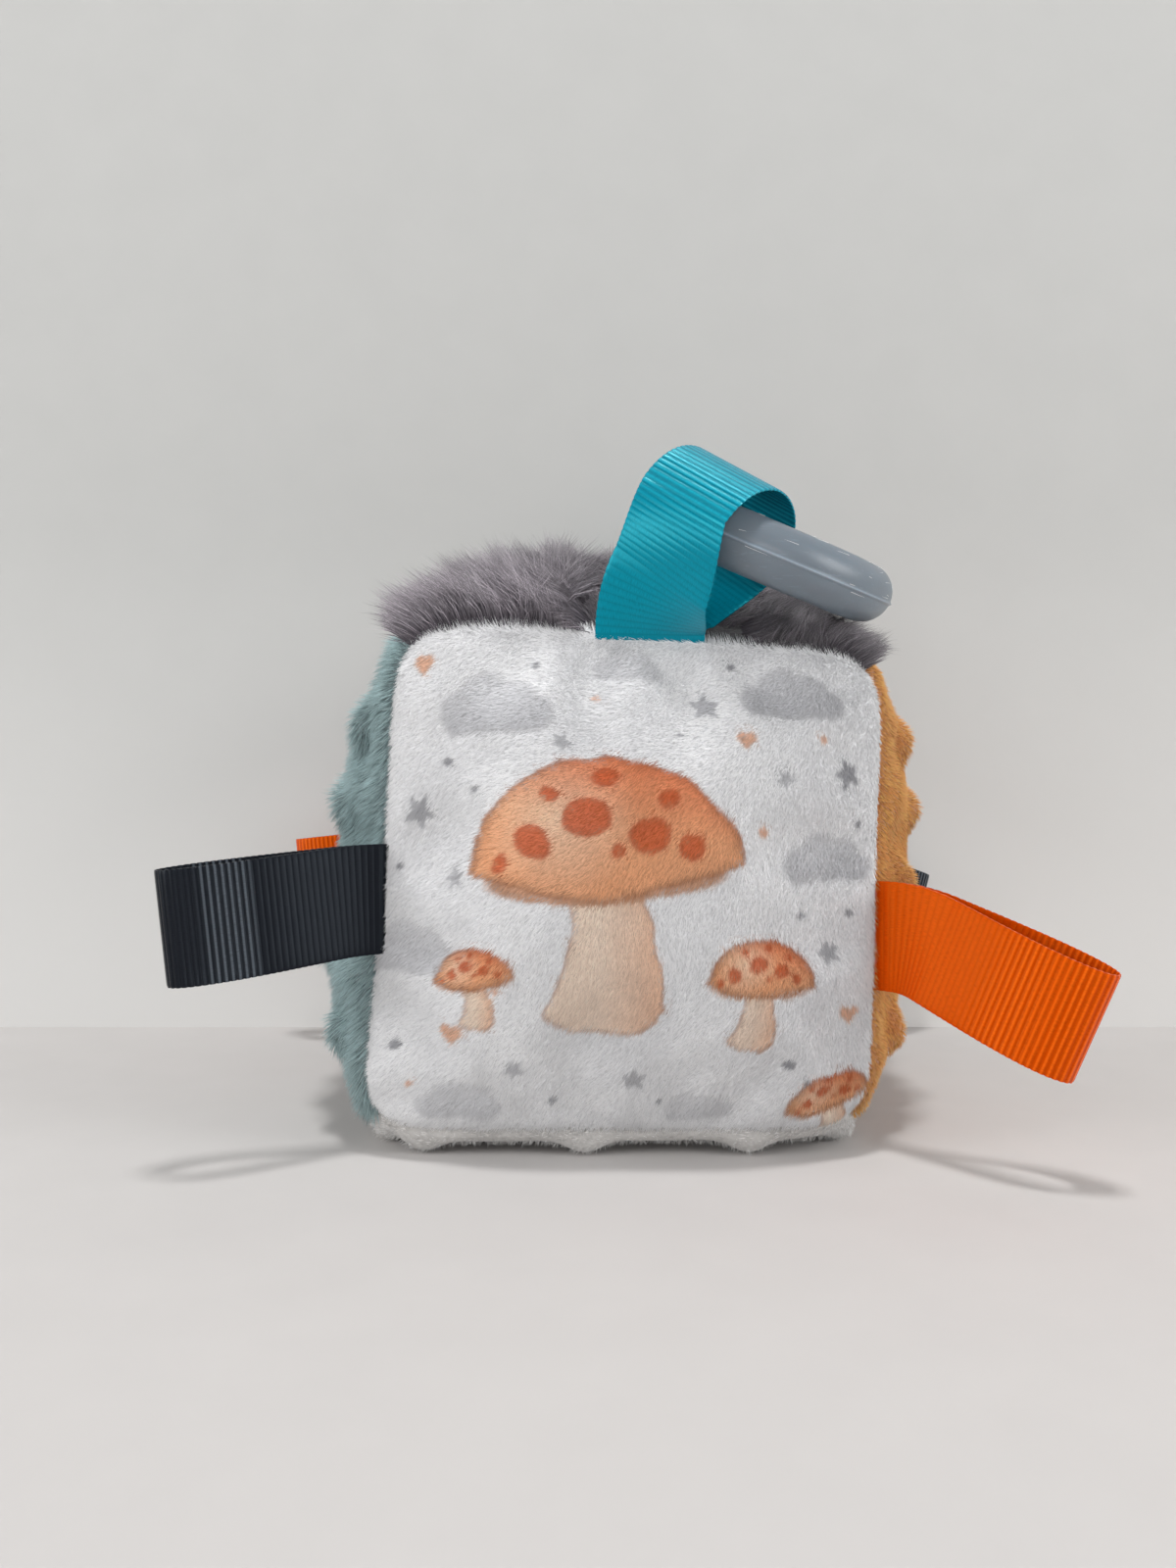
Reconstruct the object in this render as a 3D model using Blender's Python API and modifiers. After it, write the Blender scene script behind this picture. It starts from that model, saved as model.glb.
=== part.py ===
"""A stuffed baby activity block: six plush panels sewn round a fibre filling, with six
ribbon loops caught in the seams and a silicone teether ring threaded on one of them.

The block stands on z = 0 with its printed front facing -Y, +X to its right and +Z up.
The origin is in the middle of the flat under the block. Lengths are in metres.
"""

import math

import bmesh
import bpy
from mathutils import Matrix, Vector

NAME = "soft_activity_block"

# Block
SIDE = 0.100  # from seam to seam
SIDE_CROWN = 0.013  # how far a standing panel swells past its seams
TOP_CROWN = 0.016  # the same on top, with the dense foot of the long pile
BASE_CROWN = 0.002  # the panel under the block is pressed nearly flat
FLAT_DEPTH = 0.0005  # what the floor takes off the dots under the block
CORNER_DRAW = 0.006  # how far each corner is drawn in towards the middle
CROWN_POWER = 2.6
BASE_POWER = 8
CORNER_POWER = 8
PANEL_STEPS = 10
CLEARANCE = 0.0003  # between pieces that touch

# Cloth and sewing
CLOTH = 0.0012
SEAM_ALLOWANCE = 0.007
THREAD = 0.0006
STITCH = 0.006  # from one point of a seam's thread to the next
RUNG = 0.0018  # how deep the hand-sewn seam's thread goes between stitches
KNOT_SHARE = 2.2  # a knot's thickness against the thread's

# Raised dots of the dimple plush
DOT_PITCH = 0.016
DOT_DIAMETER = 0.009
DOT_HEIGHT = 0.0025
DOT_SIDES = 8
DOT_RINGS = 6

# Fur of the top panel, as the one soft body that its strands fill
FUR_HEIGHT = 0.010
FUR_LEAN = 0.003  # how far it leans out past the left seam
FUR_EDGE_SHARE = 0.5  # of its height that it loses towards its other seams
FUR_PARTING = 0.009  # how far in from its seam a loop parts it
FUR_PRESSED = 0.0012  # its height there
FUR_RISE_SHARE = 0.22  # its rise behind a loop, as a share of the way in
FUR_ROOM = 0.001  # beside a loop

# Ribbon
RIBBON_WIDTH = 0.022
RIBBON = 0.0006
LOOP_REACH = 0.0415
LOOP_GAP = 0.009  # inside a loop, where it is widest
RING_LOOP_REACH = 0.037
RING_LOOP_GAP = 0.025
BEND_LENGTH = 0.010  # a loop takes its droop in this first stretch
LOOP_STEPS = 18
BEAD_STEPS = 4
FLAT_PINCH = 2  # the two layers of a flat loop part slowly
RING_PINCH = 1  # the ring pushes them apart at once
TWIST_SHARE = 0.65  # of its reach in which a loop takes its twist

# Teether ring
RING_DIAMETER = 0.057
RING_TUBE = 0.012
RING_SEAT_SHARE = 0.7  # of its free play, by which it lies nearer the loop's front layer
RING_YAW = math.radians(-7)  # how far it is turned about the loop's own length
RING_SKEW = math.radians(4.2)  # how far its tube runs askew of the ribbon
RING_TILT = math.radians(16.8)  # how far it leans out of its loop
PARTING_HEIGHT = 0.0004
PARTING_WIDTH = 0.0007
RING_STEPS = 32
TUBE_STEPS = 8

HALF = SIDE / 2
SEAM_HEIGHT = BASE_CROWN + DOT_HEIGHT - FLAT_DEPTH
MIDDLE = Vector((0, 0, SEAM_HEIGHT + HALF))
LAYERS = 2 * RIBBON  # a loop's two ends, one on the other
HINGE_OUT = RIBBON + 2 * CLEARANCE  # from the seam out to where a loop bends
FOLD_INSET = CLEARANCE / math.sqrt(2)  # leaves CLEARANCE between two panels' folds

WHITE_PLUSH = ("printed_plush", (0.86, 0.85, 0.85), 0.95)
GREY_FUR = ("grey_fur", (0.19, 0.17, 0.18), 0.95)
SAGE_PLUSH = ("sage_dimple_plush", (0.21, 0.31, 0.31), 0.95)
CARAMEL_PLUSH = ("caramel_dimple_plush", (0.58, 0.27, 0.07), 0.95)
PALE_PLUSH = ("pale_dimple_plush", (0.72, 0.70, 0.67), 0.95)
FIBRE = ("filling_fibre", (0.88, 0.88, 0.86), 1.0)
COTTON = ("sewing_thread", (0.80, 0.79, 0.76), 0.8)
TEAL = ("teal_ribbon", (0.0, 0.24, 0.33), 0.45)
ORANGE = ("orange_ribbon", (0.75, 0.10, 0.0), 0.45)
CHARCOAL = ("charcoal_ribbon", (0.02, 0.023, 0.03), 0.45)
SILICONE = ("grey_silicone", (0.22, 0.26, 0.29), 0.4)

RIGHT = Vector((1, 0, 0))
REAR = Vector((0, 1, 0))
UP = Vector((0, 0, 1))

# Each panel's own right, up and outward directions, its crown and power, dots and finish
PANELS = {
    "front": (RIGHT, UP, -REAR, SIDE_CROWN, CROWN_POWER, False, WHITE_PLUSH),
    "back": (-RIGHT, UP, REAR, SIDE_CROWN, CROWN_POWER, False, WHITE_PLUSH),
    "left": (-REAR, UP, -RIGHT, SIDE_CROWN, CROWN_POWER, True, SAGE_PLUSH),
    "right": (REAR, UP, RIGHT, SIDE_CROWN, CROWN_POWER, True, CARAMEL_PLUSH),
    "top": (RIGHT, REAR, UP, TOP_CROWN, CROWN_POWER, False, GREY_FUR),
    "bottom": (RIGHT, -REAR, -UP, BASE_CROWN, BASE_POWER, True, PALE_PLUSH),
}

# The closing seam comes last: it is sewn by hand, from outside
SEAMS = (
    ("front", "left"),
    ("front", "right"),
    ("front", "top"),
    ("front", "bottom"),
    ("back", "left"),
    ("back", "right"),
    ("back", "top"),
    ("top", "left"),
    ("top", "right"),
    ("bottom", "left"),
    ("bottom", "right"),
    ("bottom", "back"),
)
CLOSING_SEAM = SEAMS[-1]

# Each loop's seam, its swing from the seam's outward diagonal, its droop and its twist, in
# degrees, and its finish
LOOPS = {
    "front_left": (("front", "left"), 20, 6, 0, CHARCOAL),
    "front_right": (("front", "right"), 8, 22, 0, ORANGE),
    "back_left": (("back", "left"), 42, 6, 0, ORANGE),
    "back_right": (("back", "right"), 26, 17, 0, CHARCOAL),
    "front_top": (("front", "top"), 41, -37, 35, TEAL),
    "back_top": (("back", "top"), 45, 0, 0, TEAL),
}
# Each loop's place along its seam, from the middle, as a share of the side
LOOP_SHARES = {
    "front_left": -0.02,
    "front_right": -0.095,
    "back_left": -0.02,
    "back_right": -0.06,
    "front_top": 0.03,
    "back_top": 0.117,
}
RING_LOOP = "front_top"


def start_empty():
    """Removes what the file holds and makes the two collections."""
    for thing in list(bpy.data.objects):
        bpy.data.objects.remove(thing)
    found = []
    for name in (NAME, "cutters"):
        group = bpy.data.collections.new(name)
        bpy.context.scene.collection.children.link(group)
        found.append(group)
    return found


def material(finish):
    """The Principled material of one finish, made once."""
    name, colour, roughness = finish
    found = bpy.data.materials.get(name)
    if found is None:
        found = bpy.data.materials.new(name)
        found.use_nodes = True
        shader = found.node_tree.nodes["Principled BSDF"]
        shader.inputs["Base Color"].default_value = (*colour, 1)
        shader.inputs["Roughness"].default_value = roughness
        shader.inputs["Metallic"].default_value = 0
    return found


def place(group, name, data, matrix, finish=None):
    """Links a new object at its place, with its finish."""
    made = bpy.data.objects.new(name, data)
    made.matrix_world = matrix
    if finish is not None:
        data.materials.append(material(finish))
    group.objects.link(made)
    return made


def as_cutter(made):
    """Marks a guide or a cutter, which is no part of the block."""
    made.hide_render = True
    made.display_type = "WIRE"
    return made


def mesh_from(shape, name):
    """Writes a bmesh to a smooth-shaded mesh."""
    data = bpy.data.meshes.new(name)
    shape.to_mesh(data)
    shape.free()
    data.shade_smooth()
    return data


def frame_at(origin, x_axis, y_axis, z_axis):
    """The matrix of a place and its three directions."""
    turn = Matrix((x_axis, y_axis, z_axis)).transposed().to_4x4()
    return Matrix.Translation(origin) @ turn


def boolean(target, operation, other):
    """Adds a Boolean with the exact solver."""
    step = target.modifiers.new(other.name, "BOOLEAN")
    step.operation = operation
    step.solver = "EXACT"
    step.object = other


def swell(u, v, crown, power):
    """A panel's height over its seams, at shares u and v of half a side."""
    return crown * (1 - abs(u) ** power) * (1 - abs(v) ** power)


def drawn_in(spot):
    """Carries a point, from the block's middle, to where the sewn corners leave it: each
    corner is drawn in towards the middle, and the seams curve down to it."""
    share = abs(spot.x * spot.y * spot.z) / HALF**3
    return spot - spot.normalized() * CORNER_DRAW * share**CORNER_POWER


def panel_frame(panel):
    """The frame of a panel: its own right and up, and outward from the block's middle."""
    right, up, out = PANELS[panel][:3]
    return frame_at(MIDDLE, right, up, out)


# Panels


def crowned_grid(shape, panel, half):
    """Adds a panel's swollen face to a bmesh, in the panel's own frame, and returns its
    points. Its seams lie half a side out, and it is this half wide."""
    crown, power = PANELS[panel][3:5]
    grown = bmesh.ops.create_grid(
        shape, x_segments=PANEL_STEPS, y_segments=PANEL_STEPS, size=1
    )["verts"]
    for point in grown:
        u, v = point.co.x, point.co.y
        point.co = drawn_in(Vector((u * half, v * half, HALF + swell(u, v, crown, power))))
    return grown


def panel_skin(panel):
    """A panel's outer face, with the seam allowance turned in along the mitre on each side.
    The allowance is clipped at the corners, where three panels meet."""
    shape = bmesh.new()
    crowned_grid(shape, panel, HALF - FOLD_INSET)
    clipped = 1 - (SEAM_ALLOWANCE / math.sqrt(2) + 2 * CLOTH + CLEARANCE) / HALF
    folds = {(axis, sign): [] for axis in (0, 1) for sign in (-1, 1)}
    for edge in shape.edges:
        if edge.is_boundary:
            middle = sum((point.co for point in edge.verts), Vector())
            axis = 0 if abs(middle.x) > abs(middle.y) else 1
            folds[axis, math.copysign(1, middle[axis])].append(edge)
    for (axis, sign), fold in folds.items():
        inward = Vector((0, 0, -1))
        inward[axis] = -sign
        for item in bmesh.ops.extrude_edge_only(shape, edges=fold)["geom"]:
            if isinstance(item, bmesh.types.BMVert):
                item.co += inward.normalized() * SEAM_ALLOWANCE
                item.co[1 - axis] *= clipped
    return mesh_from(shape, panel)


def dot_places(panel):
    """Where a dimple plush has its dots: every second knot of a square net, clear of the
    seams, with the direction in which each stands."""
    crown, power = PANELS[panel][3:5]
    reach = int((HALF - DOT_DIAMETER) / DOT_PITCH)
    for column in range(-reach, reach + 1):
        for row in range(-reach, reach + 1):
            if (column + row) % 2:
                continue
            u, v = column * DOT_PITCH / HALF, row * DOT_PITCH / HALF
            slope_u = -crown * power * math.copysign(abs(u) ** (power - 1), u) / HALF
            slope_v = -crown * power * math.copysign(abs(v) ** (power - 1), v) / HALF
            stands = Vector(
                (
                    -slope_u * (1 - abs(v) ** power),
                    -slope_v * (1 - abs(u) ** power),
                    1,
                )
            )
            yield (
                Vector((u * HALF, v * HALF, HALF + swell(u, v, crown, power))),
                stands.normalized(),
            )


def dots(group, panel):
    """The low domes of one panel, rooted halfway into its cloth."""
    shape = bmesh.new()
    for spot, stands in dot_places(panel):
        dome = bmesh.ops.create_uvsphere(
            shape,
            u_segments=DOT_SIDES,
            v_segments=DOT_RINGS,
            radius=DOT_DIAMETER / 2,
        )["verts"]
        for point in dome:
            height = DOT_HEIGHT if point.co.z > 0 else CLOTH / 2
            point.co.z *= height / (DOT_DIAMETER / 2)
        turn = stands.to_track_quat("Z", "Y").to_matrix().to_4x4()
        bmesh.ops.transform(shape, verts=dome, matrix=Matrix.Translation(spot) @ turn)
    name = panel + "_dots"
    return as_cutter(place(group, name, mesh_from(shape, name), panel_frame(panel)))


def floor_cut(group):
    """A slab whose upper face is the floor."""
    shape = bmesh.new()
    bmesh.ops.create_cube(shape, size=SIDE)
    seat = Matrix.Translation((0, 0, -HALF))
    return as_cutter(place(group, "floor", mesh_from(shape, "floor"), seat))


def plush_panel(group, cutters, name, slots, floor):
    """One plush panel: its cloth, its dots, and the slots that its ribbons lie in."""
    finish = PANELS[name][6]
    made = place(group, name + "_panel", panel_skin(name), panel_frame(name), finish)
    cloth = made.modifiers.new("cloth", "SOLIDIFY")
    cloth.thickness = CLOTH
    cloth.offset = -1
    cloth.use_even_offset = True
    if PANELS[name][5]:
        boolean(made, "UNION", dots(cutters, name))
    if name == "bottom":
        boolean(made, "DIFFERENCE", floor)
    for loop, slot in slots.items():
        if name in LOOPS[loop][0]:
            boolean(made, "DIFFERENCE", slot)
    return made


# Fur


def partings():
    """Where the top loops part the fur: the seam's own side, and the two ends along it, of
    which one is farther out where the loop leans over."""
    for name, share in LOOP_SHARES.items():
        pair, _, droop = LOOPS[name][:3]
        if "top" in pair:
            side = RIBBON_WIDTH / 2 + FUR_ROOM
            lean = -FUR_PARTING * math.tan(math.radians(droop))
            middle = share * SIDE
            yield PANELS[pair[0]][2], middle - side + min(lean, 0), middle + side + max(lean, 0)


def fur_height(spot):
    """How high the fur stands over a point of the top panel: rounded off towards its seams,
    pressed flat under the ring, and low behind each loop, with slopes in between."""
    u, v = spot.x / HALF, spot.y / HALF
    edge = (1 - FUR_EDGE_SHARE * max(u, 0) ** BASE_POWER) * (
        1 - FUR_EDGE_SHARE * abs(v) ** BASE_POWER
    )
    pivot, _, back, flat = ring_frame()
    away = spot - (pivot + back * ring_reach() - MIDDLE)
    under_ring = -(away.dot(flat) + RING_TUBE / 2 + CLEARANCE) / flat.z
    beside_ring = away.to_2d().length - RING_DIAMETER / 2
    heights = [FUR_HEIGHT * edge, under_ring + max(beside_ring, 0)]
    for out, left, right in partings():
        behind = FUR_RISE_SHARE * max(HALF - FUR_PARTING - spot.dot(out), 0)
        heights.append(FUR_PRESSED + behind + max(left - spot.x, spot.x - right, 0))
    return min(heights)


def fur_partings(shape):
    """Cuts out of the top panel's net the places where the loops come out of its seams."""
    for out, left, right in partings():
        borders = (
            (RIGHT * right, RIGHT),
            (RIGHT * left, -RIGHT),
            (out * (HALF - FUR_PARTING), -out),
        )
        for spot, square in borders:
            everything = shape.verts[:] + shape.edges[:] + shape.faces[:]
            bmesh.ops.bisect_plane(shape, geom=everything, plane_co=spot, plane_no=square)
        parted = []
        for face in shape.faces:
            middle = face.calc_center_median()
            if all((middle - spot).dot(square) < 0 for spot, square in borders):
                parted.append(face)
        bmesh.ops.delete(shape, geom=parted, context="FACES")


def top_fur(group):
    """The fur as one soft body on the top panel's outer face."""
    shape = bmesh.new()
    crowned_grid(shape, "top", HALF - FOLD_INSET)
    bmesh.ops.triangulate(shape, faces=shape.faces[:], quad_method="FIXED")
    bmesh.ops.subdivide_edges(shape, edges=shape.edges[:], cuts=1, use_grid_fill=True)
    fur_partings(shape)
    shape.normal_update()
    lifted = {point: point.co + point.normal * CLEARANCE for point in shape.verts}
    for point, spot in lifted.items():
        point.co = spot
    grown = bmesh.ops.extrude_face_region(shape, geom=shape.faces[:])["geom"]
    for point in grown:
        if isinstance(point, bmesh.types.BMVert):
            height = fur_height(point.co)
            lean = FUR_LEAN * height / FUR_HEIGHT * max(-point.co.x / HALF, 0) ** CROWN_POWER
            point.co += height * UP - lean * RIGHT
    bmesh.ops.recalc_face_normals(shape, faces=shape.faces[:])
    return place(group, "top_fur", mesh_from(shape, "fur"), panel_frame("top"), GREY_FUR)


# Filling and threads


def filling(group):
    """The fibre filling: the block's inside, drawn in along every seam to pass the turned-in
    seam allowances."""
    shape = bmesh.new()
    for panel in PANELS:
        turn = panel_frame(panel).to_3x3().to_4x4()
        bmesh.ops.transform(shape, verts=crowned_grid(shape, panel, HALF), matrix=turn)
    bmesh.ops.remove_doubles(shape, verts=shape.verts[:], dist=CLEARANCE / 10)
    shape.normal_update()
    skin = CLOTH + CLEARANCE
    seam = SEAM_ALLOWANCE + 3 * CLOTH + CLEARANCE
    sunk = {}
    for point in shape.verts:
        nearest, farther = sorted(map(abs, point.co))[1:]
        on_seam = farther - nearest < CLEARANCE
        sunk[point] = point.normal * point.calc_shell_factor() * (seam if on_seam else skin)
    for point, depth in sunk.items():
        point.co -= depth
    data = mesh_from(shape, "filling")
    return place(group, "fibre_filling", data, Matrix.Translation(MIDDLE), FIBRE)


def seam_thread(group, pair):
    """The stitching of one seam, along the inner side of the first panel's allowance. The
    hand-sewn seam's thread goes up and down like a ladder's rungs and ends in a knot."""
    first, second = (PANELS[name][2] for name in pair)
    along = first.cross(second)
    by_hand = pair == CLOSING_SEAM
    room = THREAD / 2 * (KNOT_SHARE if by_hand else 1)
    beside = CLEARANCE / 2 + CLOTH + CLEARANCE + room
    under = HALF - CLOTH - CLEARANCE - room
    start = first * under + second * (under - math.sqrt(2) * beside)
    inward = -(first + second).normalized()
    half = HALF - SEAM_ALLOWANCE - 4 * CLOTH
    rungs = 2 * int(half / STITCH)
    curve = bpy.data.curves.new("stitching", "CURVE")
    curve.dimensions = "3D"
    curve.bevel_depth = THREAD / 2
    curve.bevel_resolution = 1
    curve.use_fill_caps = True
    line = curve.splines.new("POLY")
    line.points.add(rungs)
    for step, point in enumerate(line.points):
        share = 2 * step / rungs - 1
        depth = RUNG if by_hand and step % 2 else 0
        point.co = (*drawn_in(start + along * share * half + inward * depth), 1)
    if by_hand:
        line.points[0].radius = KNOT_SHARE
    name = "closing_seam_thread" if by_hand else "_".join(pair) + "_seam_thread"
    return place(group, name, curve, Matrix.Translation(MIDDLE), COTTON)


# Ribbon loops


def loop_size(name):
    """A loop's reach, the gap inside it and how it is pinched at the seam."""
    if name == RING_LOOP:
        return RING_LOOP_REACH, RING_LOOP_GAP, RING_PINCH
    return LOOP_REACH, LOOP_GAP, FLAT_PINCH


def widest_turn(pinch):
    """The angle round a loop at which it is widest."""
    return math.acos(-pinch / (pinch + 2))


def loop_line(name):
    """One half of a loop's middle line, from the seam to its far end, as (out, across)
    with the direction square to it: a teardrop."""
    reach, gap, pinch = loop_size(name)
    widest = widest_turn(pinch)
    peak = math.sin(widest) * math.sin(widest / 2) ** pinch
    width = (gap + RIBBON) / 2 / peak
    half_line = []
    for step in range(1, LOOP_STEPS + 1):
        turn = math.pi * step / LOOP_STEPS
        spread = math.sin(turn / 2) ** pinch
        spot = Vector((reach * (1 - math.cos(turn)) / 2, width * math.sin(turn) * spread))
        slope = math.cos(turn) * spread
        slope += math.sin(turn) * pinch * math.sin(turn / 2) ** (pinch - 1) * math.cos(turn / 2) / 2
        ahead = Vector((reach * math.sin(turn) / 2, width * slope))
        half_line.append((spot, Vector((-ahead.y, ahead.x)).normalized()))
    return half_line


def loop_outlines(name):
    """The outer and the inner outline of a loop's cross-section. At the seam the layers are
    one on the other, with a round end about the line that the loop bends on."""
    half_line = loop_line(name)
    outer = [spot + square * RIBBON / 2 for spot, square in half_line]
    inner = [spot - square * RIBBON / 2 for spot, square in half_line]
    outer = [spot for spot in outer if spot.y > RIBBON or spot.x > HINGE_OUT]
    inner = [spot for spot in inner[:-1] if spot.y > CLEARANCE / 2]
    bead = [
        Vector((-math.cos(turn), math.sin(turn))) * RIBBON
        for turn in (math.pi / 2 * step / BEAD_STEPS for step in range(BEAD_STEPS + 1))
    ]
    outer = bead + outer[:-1]
    far_out, far_in = half_line[-1][0].x + RIBBON / 2, half_line[-1][0].x - RIBBON / 2

    def closed(side, tip):
        mirrored = [Vector((spot.x, -spot.y)) for spot in reversed(side)]
        return side + [Vector((tip, 0))] + mirrored

    whole = closed(outer, far_out)
    return whole[:-1], closed(inner, far_in)


def lay(point, droop, twist, reach):
    """Carries a point of a straight loop (out, across, along the ribbon's width) to where
    the drooping, twisted loop has it. Out of the seam the loop bends by droop within
    BEND_LENGTH, and goes straight on; it twists evenly over TWIST_SHARE of its reach."""
    out, across, along = point
    part = min(max(out / BEND_LENGTH, 0), 1)
    bend = droop * part
    if droop and out > 0:
        radius = BEND_LENGTH / droop
        line = Vector((radius * math.sin(bend), 0, radius * (math.cos(bend) - 1)))
        line += (out - BEND_LENGTH * part) * Vector((math.cos(bend), 0, -math.sin(bend)))
    else:
        line = Vector((out, 0, 0))
    turn = twist * min(max(out / (reach * TWIST_SHARE), 0), 1)
    wide = Vector((math.sin(bend), 0, math.cos(bend)))
    side = Vector((0, 1, 0))
    return (
        line
        + along * (math.cos(turn) * wide + math.sin(turn) * side)
        + across * (math.cos(turn) * side - math.sin(turn) * wide)
    )


def seam_of(name):
    """A loop's seam: the place of the loop's middle on it, its outward diagonal, and the
    direction along it, up or to the right."""
    pair = LOOPS[name][0]
    first, second = (PANELS[each][2] for each in pair)
    along = RIGHT if "top" in pair else UP
    spot = MIDDLE + (first + second) * HALF + along * LOOP_SHARES[name] * SIDE
    return spot, (first + second).normalized(), along


def loop_frame(name):
    """A loop's frame at rest: its hinge, outward, across and along the ribbon's width."""
    spot, diagonal, along = seam_of(name)
    pair, swing = LOOPS[name][:2]
    towards = PANELS[pair[1]][2]
    sign = 1 if diagonal.cross(towards).dot(along) > 0 else -1
    out = Matrix.Rotation(sign * math.radians(swing), 3, along) @ diagonal
    return frame_at(spot + diagonal * HINGE_OUT, out, along.cross(out), along)


def outline_curve(name, outlines, depth):
    """A flat outline with holes, made a slab of this depth."""
    curve = bpy.data.curves.new(name, "CURVE")
    curve.dimensions = "2D"
    curve.fill_mode = "BOTH"
    curve.extrude = depth / 2
    for outline in outlines:
        line = curve.splines.new("POLY")
        line.points.add(len(outline) - 1)
        for point, spot in zip(line.points, outline):
            point.co = (spot.x, spot.y, 0, 1)
        line.use_cyclic_u = True
    return curve


def mesh_of_curve(curve, group):
    """The welded mesh of a curve, which is then removed."""
    guide = place(group, "guide", curve, Matrix.Identity(4))
    view = bpy.context.evaluated_depsgraph_get()
    data = bpy.data.meshes.new_from_object(guide.evaluated_get(view))
    shape = bmesh.new()
    shape.from_mesh(data)
    bmesh.ops.remove_doubles(shape, verts=shape.verts[:], dist=CLEARANCE / 100)
    bpy.data.objects.remove(guide)
    bpy.data.meshes.remove(data)
    return shape


def ribbon_loop(group, name):
    """The free part of one ribbon, with its origin on the line that it bends on."""
    droop, twist = (math.radians(angle) for angle in LOOPS[name][2:4])
    reach = loop_size(name)[0]
    shape = mesh_of_curve(outline_curve(name, loop_outlines(name), RIBBON_WIDTH), group)
    for point in shape.verts:
        point.co = lay(point.co, droop, twist, reach)
    bmesh.ops.recalc_face_normals(shape, faces=shape.faces[:])
    return place(
        group, name + "_loop", mesh_from(shape, name), loop_frame(name), LOOPS[name][4]
    )


def slab(depth, thickness, width, name):
    """A box from its outer end inwards: depth along X, thickness along Y, width along Z."""
    shape = bmesh.new()
    bmesh.ops.create_cube(shape, size=1)
    bmesh.ops.scale(shape, vec=(depth, thickness, width), verts=shape.verts[:])
    bmesh.ops.translate(shape, vec=(-depth / 2, 0, 0), verts=shape.verts[:])
    return mesh_from(shape, name)


def sewn_frame(name, outwards):
    """A frame on a loop's seam, outward along the diagonal from this far outside it."""
    spot, diagonal, along = seam_of(name)
    return frame_at(spot + diagonal * outwards, diagonal, along.cross(diagonal), along)


def ribbon_end(group, name):
    """The two ends of a ribbon, one on the other, sewn in between two seam allowances."""
    outwards = HINGE_OUT - RIBBON - CLEARANCE
    data = slab(SEAM_ALLOWANCE + outwards, LAYERS, RIBBON_WIDTH, name + "_end")
    return place(
        group, name + "_ribbon_end", data, sewn_frame(name, outwards), LOOPS[name][4]
    )


def ribbon_slot(cutters, name):
    """The room that the seam allowances give a ribbon's ends."""
    overrun = SEAM_ALLOWANCE / 2
    data = slab(
        SEAM_ALLOWANCE + 2 * overrun,
        LAYERS + 2 * CLEARANCE,
        RIBBON_WIDTH + 2 * CLEARANCE,
        name + "_slot",
    )
    return as_cutter(place(cutters, name + "_slot", data, sewn_frame(name, overrun)))


# Teether ring


def ring_tube():
    """The ring: a round section with the moulding's parting ridge inside and outside, turned
    about Z."""
    tube, parting = RING_TUBE / 2, PARTING_WIDTH / 2
    middle = (RING_DIAMETER - RING_TUBE) / 2
    base = math.asin(parting / tube)
    half = [
        base + (math.pi - 2 * base) * step / TUBE_STEPS for step in range(TUBE_STEPS + 1)
    ]
    section = [(tube + PARTING_HEIGHT, 0)]
    section += [(tube * math.cos(turn), tube * math.sin(turn)) for turn in half]
    section += [(-tube - PARTING_HEIGHT, 0)]
    section += [(tube * math.cos(turn), -tube * math.sin(turn)) for turn in reversed(half)]
    shape = bmesh.new()
    points = [shape.verts.new((middle + x, 0, z)) for x, z in reversed(section)]
    for point, following in zip(points, points[1:] + points[:1]):
        shape.edges.new((point, following))
    return mesh_from(shape, "ring")


def ring_frame():
    """Where the ring's swing is centred, in the middle of its loop where that is widest, and
    the ring's frame there: through the loop, back over the block, and square to the ring."""
    reach, gap, pinch = loop_size(RING_LOOP)
    droop, twist = (math.radians(angle) for angle in LOOPS[RING_LOOP][2:4])
    widest = reach * (1 - math.cos(widest_turn(pinch))) / 2
    at = loop_frame(RING_LOOP)
    centre, ahead, side, beyond = (
        at @ lay(point, droop, twist, reach)
        for point in (
            (widest, 0, 0),
            (widest, 0, RIBBON_WIDTH),
            (widest, RIBBON_WIDTH, 0),
            (reach, 0, 0),
        )
    )
    through, front, out = (
        (spot - centre).normalized() for spot in (ahead, side, beyond)
    )
    turned = Matrix.Rotation(RING_YAW, 3, out)
    through, front = turned @ through, turned @ front
    skewed = Matrix.Rotation(RING_SKEW, 3, front)
    through, out = skewed @ through, skewed @ out
    back = math.cos(RING_TILT) * -front + math.sin(RING_TILT) * out
    return centre, through, back, through.cross(back)


def ring_reach():
    """From the swing's axis to the ring's middle: the tube has free play in its loop."""
    play = loop_size(RING_LOOP)[1] / 2 - CLEARANCE - RING_TUBE / 2 - PARTING_HEIGHT
    return (RING_DIAMETER - RING_TUBE) / 2 - RING_SEAT_SHARE * play


def teether_ring(group):
    """The ring on an empty that stands on its swing's axis."""
    centre, through, back, flat = ring_frame()
    pivot = bpy.data.objects.new("teether_ring_pivot", None)
    pivot.matrix_world = frame_at(centre, through, back, flat)
    group.objects.link(pivot)
    made = place(group, "teether_ring", ring_tube(), Matrix.Identity(4), SILICONE)
    made.parent = pivot
    made.location = (0, ring_reach(), 0)
    turned = made.modifiers.new("turned", "SCREW")
    turned.axis = "Z"
    turned.steps = RING_STEPS
    turned.render_steps = RING_STEPS
    turned.use_merge_vertices = True
    turned.merge_threshold = 0.0001
    return made


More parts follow.
